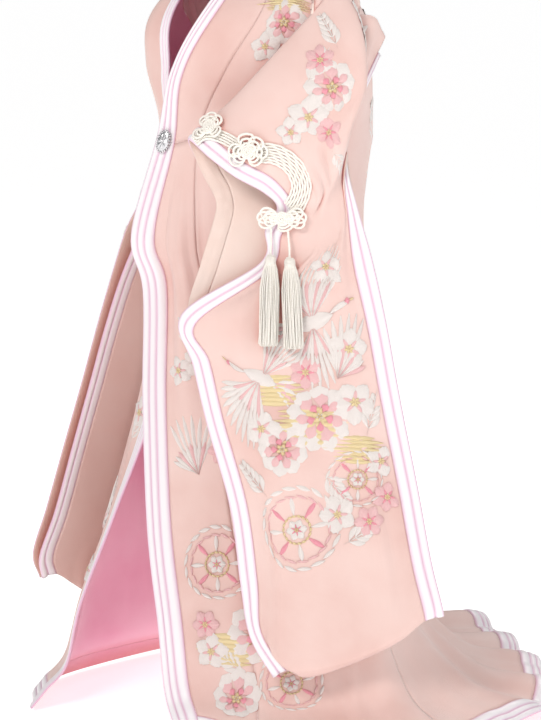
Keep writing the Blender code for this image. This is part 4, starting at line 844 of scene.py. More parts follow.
# the finer creases over the solid's own folds: column, first and last row, width, height
bodyCreases = [
    (2.2, 4.0, 9.0, 0.16, 0.0045), (3.1, 4.6, 10.5, 0.20, -0.0053), (1.7, 6.0, 10.8, 0.14, 0.0039),
    (5.0, 7.0, 13.0, 0.16, 0.0090), (5.8, 7.6, 13.5, 0.15, -0.0083), (6.7, 7.2, 13.0, 0.14, 0.0097),
    (7.4, 8.0, 14.0, 0.13, -0.0075), (8.1, 7.4, 13.6, 0.15, 0.0105), (8.8, 8.0, 13.4, 0.14, -0.0083),
    (9.6, 7.0, 13.0, 0.16, 0.0083), (10.8, 6.4, 12.0, 0.18, 0.0063), (11.3, 5.0, 10.6, 0.20, -0.0060),
    (12.3, 3.1, 6.0, 0.16, 0.0075), (12.7, 3.2, 5.2, 0.12, -0.0063), (11.9, 3.0, 5.4, 0.14, -0.0060),
    (6.0, 1.0, 3.6, 0.22, -0.0060), (8.9, 1.1, 3.4, 0.22, -0.0060), (7.5, 2.0, 5.0, 0.25, 0.0045),
]
sleeveCreases = [
    (5.2, 0.4, 3.4, 0.35, 0.0076), (4.6, 0.8, 3.9, 0.30, -0.0085), (3.9, 1.2, 4.2, 0.28, 0.0095),
    (3.1, 1.8, 4.6, 0.26, -0.0076), (2.4, 2.2, 5.2, 0.24, 0.0068), (4.9, 3.6, 6.4, 0.26, 0.0076),
    (2.9, 5.4, 9.4, 0.22, 0.0049), (4.2, 8.0, 12.4, 0.24, 0.0057), (1.8, 9.0, 12.6, 0.20, -0.0046),
]

body = makeBody()
body.folds = bodyFolds + bodyCreases
left = makeSleeve(body, leftPlace, leftFold, leftOuter, leftInner, leftBottom, leftSleeveFolds, sideLeft,
                  facing=-1)
right = makeSleeve(body, rightPlace, rightFold, rightOuter, innerRows(rightOuter, rightGaps), rightBottom,
                   rightSleeveFolds, sideRight, facing=1)
for sleeve in (left, right):
    middle = sleeve.middle
    sleeve.folds = sleeve.folds + [(c, middle + a, middle + b, w, h) for c, a, b, w, h in sleeveCreases]
    sleeve.folds = sleeve.folds + [(c, middle - b, middle - a, w, -h) for c, a, b, w, h in sleeveCreases]

longRows = np.concatenate([np.arange(0, 1, 0.25), np.arange(1, hemLine + 0.5, 0.5)])
belowClip, aboveClip = longRows[longRows >= clipLevel], longRows[longRows <= clipLevel]
for node, rows, columns, count in [
        ("back_right", longRows, (sideRight, centreBack), 54),
        ("back_left", longRows, (centreBack, sideLeft), 54),
        ("front_right", longRows, (okumiRight, sideRight), 40),
        ("front_left", longRows, (sideLeft, okumiLeft), 40),
        ("okumi_right", belowClip, (bandRight, okumiRight), 16),
        ("okumi_left", belowClip, (okumiLeft, bandLeft), 16),
        ("collar_right", aboveClip, (bandRight, okumiRight), 12),
        ("collar_left", aboveClip, (okumiLeft, bandLeft), 12)]:
    makePanel(node, body, rows, columns, count, bodyLining)
for node, columns in [
        ("hem_front_right", (bandRight, sideRight)),
        ("hem_back_right", (sideRight, centreBack)),
        ("hem_back_left", (centreBack, sideLeft)),
        ("hem_front_left", (sideLeft, bandLeft))]:
    makeBand(node, body, [hemLine, hem], columns, hemRolls, bodyLining, along="columns", count=110)
edgeRows = np.append(longRows, hem)
for node, columns in [("edge_right", (frontEdgeRight, bandRight)), ("edge_left", (bandLeft, frontEdgeLeft))]:
    makeBand(node, body, edgeRows, columns, hemRolls, bodyLining)
collar = makeCollarSurface(body)
makePanel("collar_back", collar, np.linspace(1, 2, 4), (0, collarSteps), 48, bodyLining, relief=0.0)
makeBand("collar_edge_back", collar, [0, 1], (0, collarSteps), sleeveRolls, bodyLining, along="columns",
         count=48)
print("body cloth made")


def makeSleeveCloth(side, sleeve):
    middle, start = sleeve.middle, bandRows[side]

    def backSeamAt(row):
        return backEdge - (backEdge - backSeam) * np.clip(np.abs(row - middle) - start, 0, 1)

    down = np.sort(np.concatenate([np.arange(0, fineRowCount, 0.5), np.arange(fineRowCount, middle + 1),
                                   [start + bandStart]]))
    for leaf, direction in (("back", 1), ("front", -1)):
        rows = middle + direction * down
        sewn = middle + direction * down[down > start]
        makePanel(f"sleeve_{side}_{leaf}", sleeve, rows, (wristSeam, backSeamAt), 44, sleeveLining)
        makeBand(f"wrist_band_{side}_{leaf}", sleeve, rows, (0, wristSeam), sleeveRolls, sleeveLining)
        makeBand(f"back_band_{side}_{leaf}", sleeve, sewn, (backSeamAt, backEdge), sleeveRolls, sleeveLining)


for side, sleeve in (("left", left), ("right", right)):
    makeSleeveCloth(side, sleeve)
print("sleeve cloth made")


# raised embroidery: petals, feathers, wheels and clouds of satin stitch laid on the cloth

patchShape = {"along": 7, "across": 5, "sink": 0.0003}


class Embroidery:
    # gathers patches as grids in the plane of the cloth, then lays each motif on its sheet
    def __init__(self, name):
        self.name = name
        self.points, self.faces, self.uv, self.colours, self.count = [], [], [], [], 0
        self.waiting = []

    def patch(self, x, y, angle, length, width, colour, height=0.0016, bend=0.0, tip=0.62, base=0.0):
        n, m = patchShape["along"], patchShape["across"]
        t, v = np.meshgrid(np.linspace(0, 1, n), np.linspace(-1, 1, m), indexing="ij")
        half = width / 2 * np.sin(math.pi * np.clip(t, 0.02, 0.98) ** (math.log(0.5) / math.log(tip))) ** 0.7
        side, front = v * half, length * t
        front = front + 0.10 * width * (1 - v**2) * (t - 0.5)
        sway = bend * length * t**2
        px = x + front * math.cos(angle) - (side + sway) * math.sin(angle)
        py = y + front * math.sin(angle) + (side + sway) * math.cos(angle)
        dome = base + height * (1 - v**2) * np.sin(math.pi * np.clip(t, 0.06, 0.94)) ** 0.4
        dome = dome - patchShape["sink"] * v**2
        self.waiting.append((px, py, dome, np.stack([side, front], axis=-1), colour))

    def lay(self, sheet, row, column, span, rowLimits, columnLimits, turn=0.0, lift=0.0014):
        here, normal = sheet.at(row, column, span)
        step = 0.02
        downward = (sheet.at(row + step, column, span)[0] - here) / step
        sideways = (sheet.at(row, column + step, span)[0] - here) / step
        up = np.array([0, 0, 1.0]) - normal * normal[2]
        if np.linalg.norm(up) < 0.3:
            up = -downward
        up /= np.linalg.norm(up)
        over = np.cross(up, normal)
        axes = np.linalg.lstsq(np.stack([downward, sideways], axis=1), np.stack([over, up], axis=1),
                               rcond=None)[0]
        c, s = math.cos(turn), math.sin(turn)
        px, py, dome = (np.stack([item[k] for item in self.waiting]) for k in range(3))
        x, y = c * px - s * py, s * px + c * py
        r, k = row + axes[0, 0] * x + axes[0, 1] * y, column + axes[1, 0] * x + axes[1, 1] * y
        inside = ((r.min((1, 2)) > rowLimits[0]) & (r.max((1, 2)) < rowLimits[1])
                  & (k.min((1, 2)) > columnLimits[0]) & (k.max((1, 2)) < columnLimits[1]))
        kept = [item for item, stays in zip(self.waiting, inside) if stays]
        self.waiting = []
        if not kept:
            return
        patches, n, m = r[inside].shape
        points, normals = sheet.at(r[inside].reshape(-1, m), k[inside].reshape(-1, m), span)
        points = points + (lift + dome[inside].reshape(-1, m))[..., None] * normals
        number = np.arange(patches * n * m).reshape(patches, n, m)
        quads = np.stack([number[:, :-1, :-1], number[:, 1:, :-1], number[:, 1:, 1:], number[:, :-1, 1:]],
                         axis=-1)
        quads = quads.reshape(patches, -1, 4)
        points, normals = points.reshape(-1, 3), normals.reshape(-1, 3)
        first = number[:, n // 2, m // 2]
        facing = np.cross(points[first + m] - points[first], points[first + 1] - points[first])
        flip = (facing * normals[first]).sum(axis=1) < 0
        quads[flip] = quads[flip][:, :, ::-1]
        self.points.append(points)
        self.faces.append(quads.reshape(-1, 4) + self.count)
        self.uv.append(np.concatenate([item[3].reshape(-1, 2) for item in kept]))
        self.colours.append(np.concatenate([np.full(quads.shape[1], item[4]) for item in kept]))
        self.count += len(points)

    def finish(self):
        piece = meshOf(self.name, np.concatenate(self.points), np.concatenate(self.faces),
                       np.concatenate(self.uv), np.concatenate(self.colours), threads)
        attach(piece, "root")


def flower(work, x, y, radius, petals=5, outer=white, inner=palePink, turn=0.3):
    for k in range(petals):
        angle = turn + 2 * math.pi * k / petals
        for way in (-1, 1, 0):
            work.patch(x + 0.12 * radius * math.cos(angle), y + 0.12 * radius * math.sin(angle),
                       angle + 0.30 * way, (0.90 - 0.07 * abs(way)) * radius,
                       0.74 * radius * math.sin(math.pi / petals) * 1.5, outer,
                       0.0022, bend=-0.10 * way, tip=0.66, base=0.0004 * (1 - abs(way)))
    for k in range(petals):
        angle = turn + 2 * math.pi * (k + 0.5) / petals
        work.patch(x, y, angle, 0.55 * radius, 0.20 * radius, inner, 0.0012, base=0.0014)
    for k in range(6):
        angle = turn + 2 * math.pi * k / 6
        work.patch(x, y, angle, 0.24 * radius, 0.14 * radius, gold, 0.0010, base=0.0024)


def peony(work, x, y, radius, turn=0.0, tones=(white, palePink, rose)):
    for ring, (share, petals, tone) in enumerate(zip((1.0, 0.72, 0.42), (9, 7, 5), tones)):
        for k in range(petals):
            angle = turn + ring * 0.4 + 2 * math.pi * k / petals
            reach = share * radius
            work.patch(x + 0.35 * reach * math.cos(angle), y + 0.35 * reach * math.sin(angle), angle,
                       0.62 * reach, 0.62 * reach, tone, 0.0018, tip=0.7, base=0.0008 * ring)
    flower(work, x, y, 0.22 * radius, 5, gold, white, turn)


def leafSpray(work, x, y, angle, size, tone=white):
    for k in range(5):
        along = size * (0.15 + 0.18 * k)
        for way in (-1, 1):
            work.patch(x + along * math.cos(angle), y + along * math.sin(angle), angle + way * 0.75,
                       size * (0.42 - 0.05 * k), size * 0.15, tone, 0.0014, bend=-0.15 * way)
    work.patch(x, y, angle, size * 1.15, size * 0.05, tone, 0.0012)


def featherFan(work, x, y, angle, size, feathers=11, spread=1.5, tone=white):
    for k in range(feathers):
        share = k / (feathers - 1) - 0.5
        reach = size * (1 - 0.9 * share**2)
        work.patch(x, y, angle + spread * share, reach, size * 0.085, tone, 0.0020, bend=0.16 * share,
                   tip=0.72)
    for k in range(feathers - 2):
        share = (k + 0.5) / (feathers - 2) - 0.5
        work.patch(x, y, angle + spread * 0.92 * share, 0.52 * size, size * 0.075,
                   tone if k % 3 else palePink, 0.0016, bend=0.12 * share, tip=0.70, base=0.0014)


def crane(work, x, y, angle, size):
    c, s = math.cos(angle), math.sin(angle)

    def at(a, b):
        return x + c * a * size - s * b * size, y + s * a * size + c * b * size
    featherFan(work, *at(0.02, 0.02), angle + 1.35, 0.95 * size, 12, 1.25)
    featherFan(work, *at(0.00, -0.03), angle - 1.75, 0.72 * size, 9, 1.0)
    for k in range(5):
        work.patch(*at(-0.10, 0.0), angle + math.pi + 0.16 * (k - 2), 0.42 * size, 0.07 * size,
                   palePink if k % 2 else white, 0.0014, bend=0.05 * (k - 2))
    work.patch(*at(-0.20, 0.0), angle, 0.48 * size, 0.20 * size, white, 0.0034, tip=0.45, base=0.0010)
    work.patch(*at(0.20, 0.0), angle + 0.35, 0.40 * size, 0.07 * size, white, 0.0024, bend=-0.25, base=0.0010)
    work.patch(*at(0.53, 0.06), angle - 0.05, 0.10 * size, 0.07 * size, rose, 0.0024, base=0.0012)
    work.patch(*at(0.60, 0.055), angle - 0.10, 0.14 * size, 0.025 * size, gold, 0.0014, base=0.0010)


def wheel(work, x, y, radius, turn=0.0):
    for share, tone, width in ((1.0, white, 0.11), (0.80, palePink, 0.07), (0.34, gold, 0.07)):
        pieces = 18
        for k in range(pieces):
            angle = turn + 2 * math.pi * k / pieces
            arc = 2 * math.pi * share * radius / pieces
            work.patch(x + share * radius * math.cos(angle), y + share * radius * math.sin(angle),
                       angle + math.pi / 2, arc * 1.06, width * radius, tone, 0.0020, tip=0.5)
    for k in range(8):
        angle = turn + 2 * math.pi * k / 8
        work.patch(x + 0.34 * radius * math.cos(angle), y + 0.34 * radius * math.sin(angle), angle,
                   0.48 * radius, 0.13 * radius, rose if k % 2 else white, 0.0018, tip=0.6)
    flower(work, x, y, 0.26 * radius, 6, white, rose, turn)


def cloud(work, x, y, width, tone=gold):
    for line in range(7):
        offset = (line - 3) * width * 0.062
        reach = width * (1 - 0.11 * abs(line - 3)) * (0.9 + 0.1 * (line % 2))
        work.patch(x - reach / 2 + 0.05 * width * (line % 3), y + offset, 0.0, reach, width * 0.076, tone,
                   0.0012, tip=0.5)


motifs = {
    "flower": lambda work, size, turn: flower(work, 0, 0, size, 5, white, palePink, turn),
    "blossom": lambda work, size, turn: flower(work, 0, 0, size, 6, palePink, rose, turn),
    "peony": lambda work, size, turn: peony(work, 0, 0, size, turn),
    "spray": lambda work, size, turn: leafSpray(work, 0, 0, turn, size),
    "fan": lambda work, size, turn: featherFan(work, 0, 0, turn, size),
    "crane": lambda work, size, turn: crane(work, 0, 0, turn, size),
    "wheel": lambda work, size, turn: wheel(work, 0, 0, size, turn),
    "cloud": lambda work, size, turn: cloud(work, 0, 0, size),
}

# motif, metres along the sleeve, height above the floor, size, turn
leftSleeveWork = [
    ("cloud", 0.075, 0.560, 0.150, 0.0), ("cloud", 0.020, 0.620, 0.120, 0.0),
    ("cloud", 0.165, 0.520, 0.110, 0.0), ("crane", 0.085, 0.735, 0.150, 0.35),
    ("crane", 0.000, 0.640, 0.125, 2.70), ("fan", 0.130, 0.640, 0.120, 1.0),
    ("peony", 0.100, 0.575, 0.058, 0.2), ("peony", 0.035, 0.520, 0.046, 1.1),
    ("flower", 0.150, 0.690, 0.034, 0.2), ("flower", 0.160, 0.600, 0.036, 0.9),
    ("blossom", 0.075, 0.650, 0.028, 0.5), ("flower", 0.000, 0.555, 0.030, 0.1),
    ("wheel", 0.060, 0.385, 0.068, 0.2), ("wheel", 0.165, 0.470, 0.046, 0.0),
    ("flower", 0.130, 0.410, 0.032, 0.7), ("blossom", 0.185, 0.400, 0.026, 0.2),
    ("spray", 0.140, 0.360, 0.070, 0.5), ("spray", 0.010, 0.440, 0.070, 2.4),
    ("spray", 0.180, 0.545, 0.075, 1.2), ("spray", 0.105, 0.480, 0.065, 5.4),
    ("flower", 0.110, 0.830, 0.028, 0.4), ("spray", 0.120, 0.790, 0.060, 1.8),
    ("blossom", 0.215, 0.440, 0.024, 0.4), ("flower", 0.205, 0.500, 0.026, 0.0),
    ("peony", 0.120, 1.135, 0.046, 0.3), ("flower", 0.080, 1.085, 0.034, 0.2),
    ("flower", 0.150, 1.085, 0.032, 0.6), ("blossom", 0.115, 1.060, 0.024, 0.6),
    ("spray", 0.075, 1.140, 0.060, 1.0), ("flower", 0.165, 1.180, 0.032, 0.1),
    ("spray", 0.130, 1.200, 0.060, 2.0), ("flower", 0.050, 1.060, 0.024, 0.5),
    ("spray", 0.120, 1.030, 0.050, 5.2), ("peony", 0.140, 1.240, 0.042, 0.3),
    ("blossom", 0.100, 1.180, 0.026, 0.6),
]
rightSleeveWork = [
    ("crane", 0.000, 0.700, 0.140, 0.4), ("fan", -0.080, 0.600, 0.110, 2.0),
    ("peony", -0.020, 0.560, 0.055, 0.2), ("cloud", -0.060, 0.520, 0.140, 0.0),
    ("wheel", -0.090, 0.400, 0.062, 0.2), ("flower", 0.030, 0.500, 0.032, 0.7),
    ("spray", 0.010, 0.430, 0.070, 1.5), ("flower", -0.140, 0.480, 0.030, 0.2),
    ("blossom", -0.020, 0.400, 0.026, 0.5), ("peony", 0.070, 1.040, 0.044, 0.3),
    ("flower", 0.050, 0.970, 0.030, 0.2), ("spray", 0.080, 0.900, 0.070, 1.9),
]
# motif, level, column, size, turn
frontLeftWork = [
    ("flower", 5.65, 12.20, 0.030, 0.2), ("flower", 5.75, 12.62, 0.026, 0.8),
    ("spray", 5.55, 12.35, 0.060, 1.9), ("fan", 6.55, 12.40, 0.110, 2.1),
    ("fan", 6.60, 11.75, 0.100, 1.0), ("blossom", 6.35, 12.00, 0.024, 0.1),
    ("wheel", 7.30, 12.30, 0.060, 0.1), ("flower", 7.05, 11.55, 0.030, 0.4),
    ("spray", 7.25, 11.75, 0.070, 0.8), ("peony", 8.05, 11.90, 0.056, 0.4),
    ("cloud", 8.30, 12.30, 0.130, 0.0), ("flower", 8.35, 12.55, 0.030, 0.2),
    ("wheel", 8.75, 11.55, 0.054, 0.3), ("peony", 9.10, 12.25, 0.044, 0.2),
    ("spray", 8.60, 12.10, 0.070, 2.6), ("blossom", 8.00, 12.60, 0.024, 0.1),
    ("cloud", 7.85, 11.55, 0.110, 0.0),
]
frontRightWork = [
    ("flower", 6.20, 1.70, 0.030, 0.3), ("spray", 6.45, 1.80, 0.070, 1.2),
    ("fan", 7.30, 2.30, 0.100, 1.2), ("peony", 8.00, 2.30, 0.052, 0.1),
    ("flower", 7.70, 1.75, 0.028, 0.6), ("wheel", 8.80, 2.60, 0.054, 0.2),
]
chestWork = [
    ("peony", 1.25, 11.05, 0.040, 0.2), ("cloud", 0.95, 11.30, 0.070, 0.0),
    ("flower", 1.65, 11.35, 0.026, 0.4), ("peony", 1.25, 2.95, 0.040, 0.2),
    ("flower", 1.65, 2.70, 0.026, 0.4),
]
backWork = [
    ("crane", 2.30, 6.30, 0.130, 2.6), ("crane", 3.60, 8.00, 0.150, 0.4),
    ("peony", 1.40, 8.50, 0.050, 0.1), ("peony", 1.35, 5.60, 0.046, 0.8), ("fan", 3.20, 5.90, 0.110, 1.3),
    ("wheel", 5.00, 6.20, 0.064, 0.2), ("peony", 5.30, 8.40, 0.058, 0.5),
    ("flower", 4.60, 8.90, 0.032, 0.2), ("cloud", 4.40, 6.60, 0.130, 0.0),
    ("flower", 5.80, 7.60, 0.030, 0.3), ("spray", 5.90, 6.50, 0.070, 1.0),
    ("wheel", 6.40, 8.20, 0.060, 0.1), ("peony", 6.60, 5.80, 0.055, 0.3),
    ("spray", 6.90, 8.90, 0.070, 2.0), ("flower", 2.60, 8.90, 0.030, 0.4),
]


def layOnSleeve(name, sleeve, place, work):
    sewing = Embroidery(name)
    span = (0, backEdge)
    for motif, along, height, size, turn in work:
        row, column = placeOn(sleeve, place, along, height, (sleeve.middle, sleeve.rows - 1), span)
        motifs[motif](sewing, size, turn)
        sewing.lay(sleeve, row, column, span, (sleeve.middle + 0.1, sleeve.rows - 1.15),
                   (wristSeam + 0.05, backSeam - 0.05))
    sewing.finish()


def layOnBody(name, work, columnLimits):
    sewing = Embroidery(name)
    span = (math.floor(columnLimits[0]), math.ceil(columnLimits[1]))
    for motif, row, column, size, turn in work:
        motifs[motif](sewing, size, turn)
        sewing.lay(body, row, column, span, (0.3, 9.9), columnLimits)
    sewing.finish()


layOnSleeve("embroidery_sleeve_left", left, leftPlace, leftSleeveWork)
layOnSleeve("embroidery_sleeve_right", right, rightPlace, rightSleeveWork)
layOnBody("embroidery_front_left", frontLeftWork, (10.1, 12.95))
layOnBody("embroidery_front_right", frontRightWork, (1.05, 3.9))
layOnBody("embroidery_chest_left", chestWork[:3], (10.1, 12.9))
layOnBody("embroidery_chest_right", chestWork[3:], (1.1, 3.9))
layOnBody("embroidery_back", backWork, (4.1, 9.9))
print("embroidery made")


# every cord is three plied strands, made round its path by one node tree

cordSizes = {
    "radius": 0.0021,
    "lay": 0.0095,         # length of one turn of a strand
    "step": 0.0022,        # between two points of a path
    "sides": 6,
    "strandShare": 0.62,   # a strand's radius, as a share of the cord's
    "rise": trimGap + 0.0022,   # a laid cord's middle above the cloth
    "braidCords": 8,
    "braidWidth": 0.031,
    "runCords": 5,
    "runWidth": 0.018,
}


def cordTree(name):
    tree = bpy.data.node_groups.new(name, "GeometryNodeTree")
    tree.interface.new_socket("Geometry", in_out="INPUT", socket_type="NodeSocketGeometry")
    tree.interface.new_socket("Strand radius", in_out="INPUT", socket_type="NodeSocketFloat")
    tree.interface.new_socket("Sides", in_out="INPUT", socket_type="NodeSocketInt")
    tree.interface.new_socket("Finish", in_out="INPUT", socket_type="NodeSocketMaterial")
    tree.interface.new_socket("Geometry", in_out="OUTPUT", socket_type="NodeSocketGeometry")
    given = addNode(tree, "NodeGroupInput")
    curve = addNode(tree, "GeometryNodeMeshToCurve", {}, {"Mesh": given.outputs["Geometry"]})
    ring = addNode(tree, "GeometryNodeCurvePrimitiveCircle", {},
                   {"Resolution": given.outputs["Sides"], "Radius": given.outputs["Strand radius"]})
    tube = addNode(tree, "GeometryNodeCurveToMesh", {},
                   {"Curve": curve.outputs["Curve"], "Profile Curve": ring.outputs["Curve"]},
                   {"Fill Caps": True})
    smooth = addNode(tree, "GeometryNodeSetShadeSmooth", {}, {"Geometry": tube.outputs["Mesh"]})
    real = addNode(tree, "GeometryNodeRealizeInstances", {}, {"Geometry": smooth.outputs["Geometry"]})
    finish = addNode(tree, "GeometryNodeSetMaterial", {},
                     {"Geometry": real.outputs["Geometry"], "Material": given.outputs["Finish"]})
    addNode(tree, "NodeGroupOutput", {}, {"Geometry": finish.outputs["Geometry"]})
    return tree


strandTree = cordTree("cord_strands")


def strandPiece(name, paths, radius, sides, finish, nodes):
    points, edges, count = [], [], 0
    for path in paths:
        points.append(path)
        edges += [(count + k, count + k + 1) for k in range(len(path) - 1)]
        count += len(path)
    mesh = bpy.data.meshes.new(name + "_paths")
    mesh.from_pydata(np.concatenate(points).tolist(), edges, [])
    carrier = bpy.data.objects.new(name + "_paths", mesh)
    bpy.context.scene.collection.objects.link(carrier)
    modifier = carrier.modifiers.new("strands", "NODES")
    modifier.node_group = strandTree
    values = {"Strand radius": radius, "Sides": sides, "Finish": finish}
    for item in strandTree.interface.items_tree:
        if item.in_out == "INPUT" and item.name in values:
            modifier[item.identifier] = values[item.name]
    graph = bpy.context.evaluated_depsgraph_get()
    made = bpy.data.meshes.new_from_object(carrier.evaluated_get(graph))
    bpy.data.objects.remove(carrier)
    piece = bpy.data.objects.new(name, made)
    bpy.context.scene.collection.objects.link(piece)
    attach(piece, "root")
    if nodes:
        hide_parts(*nodes)


def resampled(path, step):
    lengths = np.concatenate([[0], np.cumsum(np.linalg.norm(np.diff(path, axis=0), axis=1))])
    places = np.linspace(0, lengths[-1], max(4, int(lengths[-1] / step) + 1))
    return np.stack([np.interp(places, lengths, path[:, k]) for k in range(3)], axis=1), places


def plied(path, normal):    # three strands laid round a path
    points, places = resampled(path, cordSizes["step"])
    run = np.gradient(points, axis=0)
    run /= np.linalg.norm(run, axis=1, keepdims=True) + 1e-9
    side = np.cross(run, normal)
    side /= np.linalg.norm(side, axis=1, keepdims=True) + 1e-9
    rise = np.cross(side, run)
    strands = []
    for k in range(3):
        angle = places * 2 * math.pi / cordSizes["lay"] + 2 * math.pi * k / 3
        offset = 0.55 * cordSizes["radius"]
        strands.append(points + offset * (np.cos(angle)[:, None] * side + np.sin(angle)[:, None] * rise))
    return strands


def knotFrame(sheet, centre, halfWidth, span):
    row, column = np.meshgrid(centre[0] + np.linspace(-1.5, 1.5, 31), np.linspace(*span, 61), indexing="ij")
    middle = clothTop(sheet, centre[0], centre[1], span)[0]
    points, normals = clothTop(sheet, row, column, span)
    around = points - middle
    distance = np.linalg.norm(around, axis=-1)
    normal = normals[distance < halfWidth].mean(axis=0)
    normal /= np.linalg.norm(normal)
    across = np.cross((0, 0, 1), normal)
    across /= np.linalg.norm(across)
    base = trimGap + (around[distance < (1 + knotLobe) * halfWidth] @ normal).max()
    return middle + base * normal, across, np.cross(normal, across), normal


# loops of each kind of knot: angle in degrees, length and width as shares of the half width
knotLoops = {
    1: [(60, 1.0, 0.34), (95, 1.08, 0.34), (130, 1.0, 0.32), (215, 1.05, 0.30), (-20, 0.85, 0.32)],
    2: [(95, 1.12, 0.40), (50, 1.05, 0.38), (5, 1.05, 0.36), (170, 1.0, 0.36), (215, 1.08, 0.36),
        (-45, 0.9, 0.34)],
    3: [(6, 1.1, 0.26), (24, 1.02, 0.24), (-14, 1.04, 0.26), (174, 1.1, 0.26), (156, 1.02, 0.24),
        (194, 1.04, 0.26), (-70, 0.62, 0.30)],
}


def makeKnot(side, number, sheet, centre, halfWidth, halfHeight, span):
    origin, across, up, normal = knotFrame(sheet, centre, halfWidth, span)
    squash = halfHeight / halfWidth
    strands = []
    turn = np.linspace(0, 1, 60)
    for k, (degrees, length, width) in enumerate(knotLoops[number]):
        angle = math.radians(degrees)
        for scale, level in ((1.0, 0.0026), (0.74, 0.0034), (0.50, 0.0040)):
            reach, half = length * halfWidth * scale * 0.95, width * halfWidth * scale
            a, b = reach * np.sin(math.pi * turn), half * np.sin(2 * math.pi * turn)
            x = a * math.cos(angle) - b * math.sin(angle)
            y = (a * math.sin(angle) + b * math.cos(angle)) * (squash if number != 3 else 0.9)
            z = level + 0.0022 * np.sin(math.pi * turn) ** 2 + 0.0012 * (k % 2)
            strands += plied(origin + x[:, None] * across + y[:, None] * up + z[:, None] * normal, normal)
    around = np.linspace(0, 6.6 * math.pi, 150)
    radius = 0.0120 * (1 - around / around[-1] * 0.88)
    boss = origin + (radius * np.cos(around))[:, None] * across + (radius * np.sin(around))[:, None] * up
    strands += plied(boss + (0.0050 + 0.0045 * (1 - radius / radius[0]))[:, None] * normal, normal)
    strandPiece(f"cord_knot_{side}_{number}", strands, cordSizes["strandShare"] * cordSizes["radius"],
                cordSizes["sides"], ivoryCord, [f"knot_{side}_{number}"])


def clothCords(sheet, route, span, offsets, rise, sway=0.0):    # parallel cords laid along a route
    paths = []
    positions = np.linspace(0, len(route) - 1, 90)
    places = np.array([alongRoute(route, position) for position in positions])
    points, normals = clothTop(sheet, places[:, 0], places[:, 1], span)
    run = np.gradient(points, axis=0)
    side = np.cross(normals, run)
    side /= np.linalg.norm(side, axis=1, keepdims=True)
    for number, offset in enumerate(offsets):
        shift = offset + sway * np.sin(positions * 9 + number * 2.1)
        lift = rise + 0.0005 * np.sin(positions * 18 + number * math.pi)
        paths.append((points + shift[:, None] * side + lift[:, None] * normals, normals.mean(axis=0)))
    return paths


def makeBraid(side, sheet, route, span):
    strands = []
    offsets = np.linspace(-0.5, 0.5, cordSizes["braidCords"]) * cordSizes["braidWidth"]
    for path, normal in clothCords(sheet, route, span, offsets, cordSizes["rise"], 0.0004):
        strands += plied(path, normal)
    strandPiece(f"cord_braid_{side}", strands, cordSizes["strandShare"] * cordSizes["radius"],
                cordSizes["sides"], ivoryCord, [f"braid_{side}"])


tasselSizes = {
    "threads": 116,
    "length": 0.146,
    "radius": 0.0165,
    "headRadius": 0.0085,
    "points": 10,          # along each thread
    "goldenAngle": 2.399963,   # from one thread to the next, so that they fill the round evenly
}


def makeTasselCords(side, number, top, bottom):
    top, bottom = np.array(top), np.array(bottom)
    down = (bottom - top) / np.linalg.norm(bottom - top)
    across = np.cross(down, (0, 1, 0))
    across /= np.linalg.norm(across)
    front = np.cross(across, down)
    rng = np.random.default_rng(7 + number)
    threadsOf = []
    fall = np.linspace(0, 1, tasselSizes["points"])
    for k in range(tasselSizes["threads"]):
        angle, share = tasselSizes["goldenAngle"] * k, math.sqrt((k + 0.5) / tasselSizes["threads"])
        tied = tasselSizes["headRadius"] * 0.75
        spread = share * (tied + (tasselSizes["radius"] - tied) * np.clip(fall * 3, 0, 1) ** 0.6)
        bend = 0.0012 * np.sin(fall * 7 + rng.uniform(0, 6)) * fall
        length = tasselSizes["length"] * (1 + rng.uniform(-0.02, 0.02))
        x, y = spread * math.cos(angle) + bend, spread * math.sin(angle) + bend * rng.uniform(-1, 1)
        threadsOf.append(top + (fall * length)[:, None] * down + x[:, None] * across + y[:, None] * front)
    strandPiece(f"cord_tassel_{side}_{number}", threadsOf, 0.00115, 4, ivoryCord, [f"tassel_{side}_{number}"])
    wraps = []
    around = np.linspace(0, 9 * 2 * math.pi, 260)
    climb = np.linspace(0.012, -0.008, 260)
    radius = tasselSizes["headRadius"] * np.clip(1.05 - np.clip(-climb / 0.008, 0, 1) ** 2 * 0.55, 0.2, 2)
    wraps.append(top + climb[:, None] * down + (radius * np.cos(around))[:, None] * across
                 + (radius * np.sin(around))[:, None] * front)
    hang = np.linspace(0, 1, 24)[:, None]
    wraps += plied(top - down * (0.008 + 0.046 * hang) + 0.0008 * np.sin(hang * 5) * across, across)
    strandPiece(f"cord_wrap_{side}_{number}", wraps, 0.0011, 6, ivoryCord, [])


braidEnds = {"left": [(-0.004, 1.026), (0.052, 0.930)], "right": [(0.006, 0.928), (-0.040, 0.856)]}
cordRun = [
    (-0.112, 1.040), (-0.092, 1.052), (-0.066, 1.050), (-0.044, 1.040), (-0.028, 1.030),
]


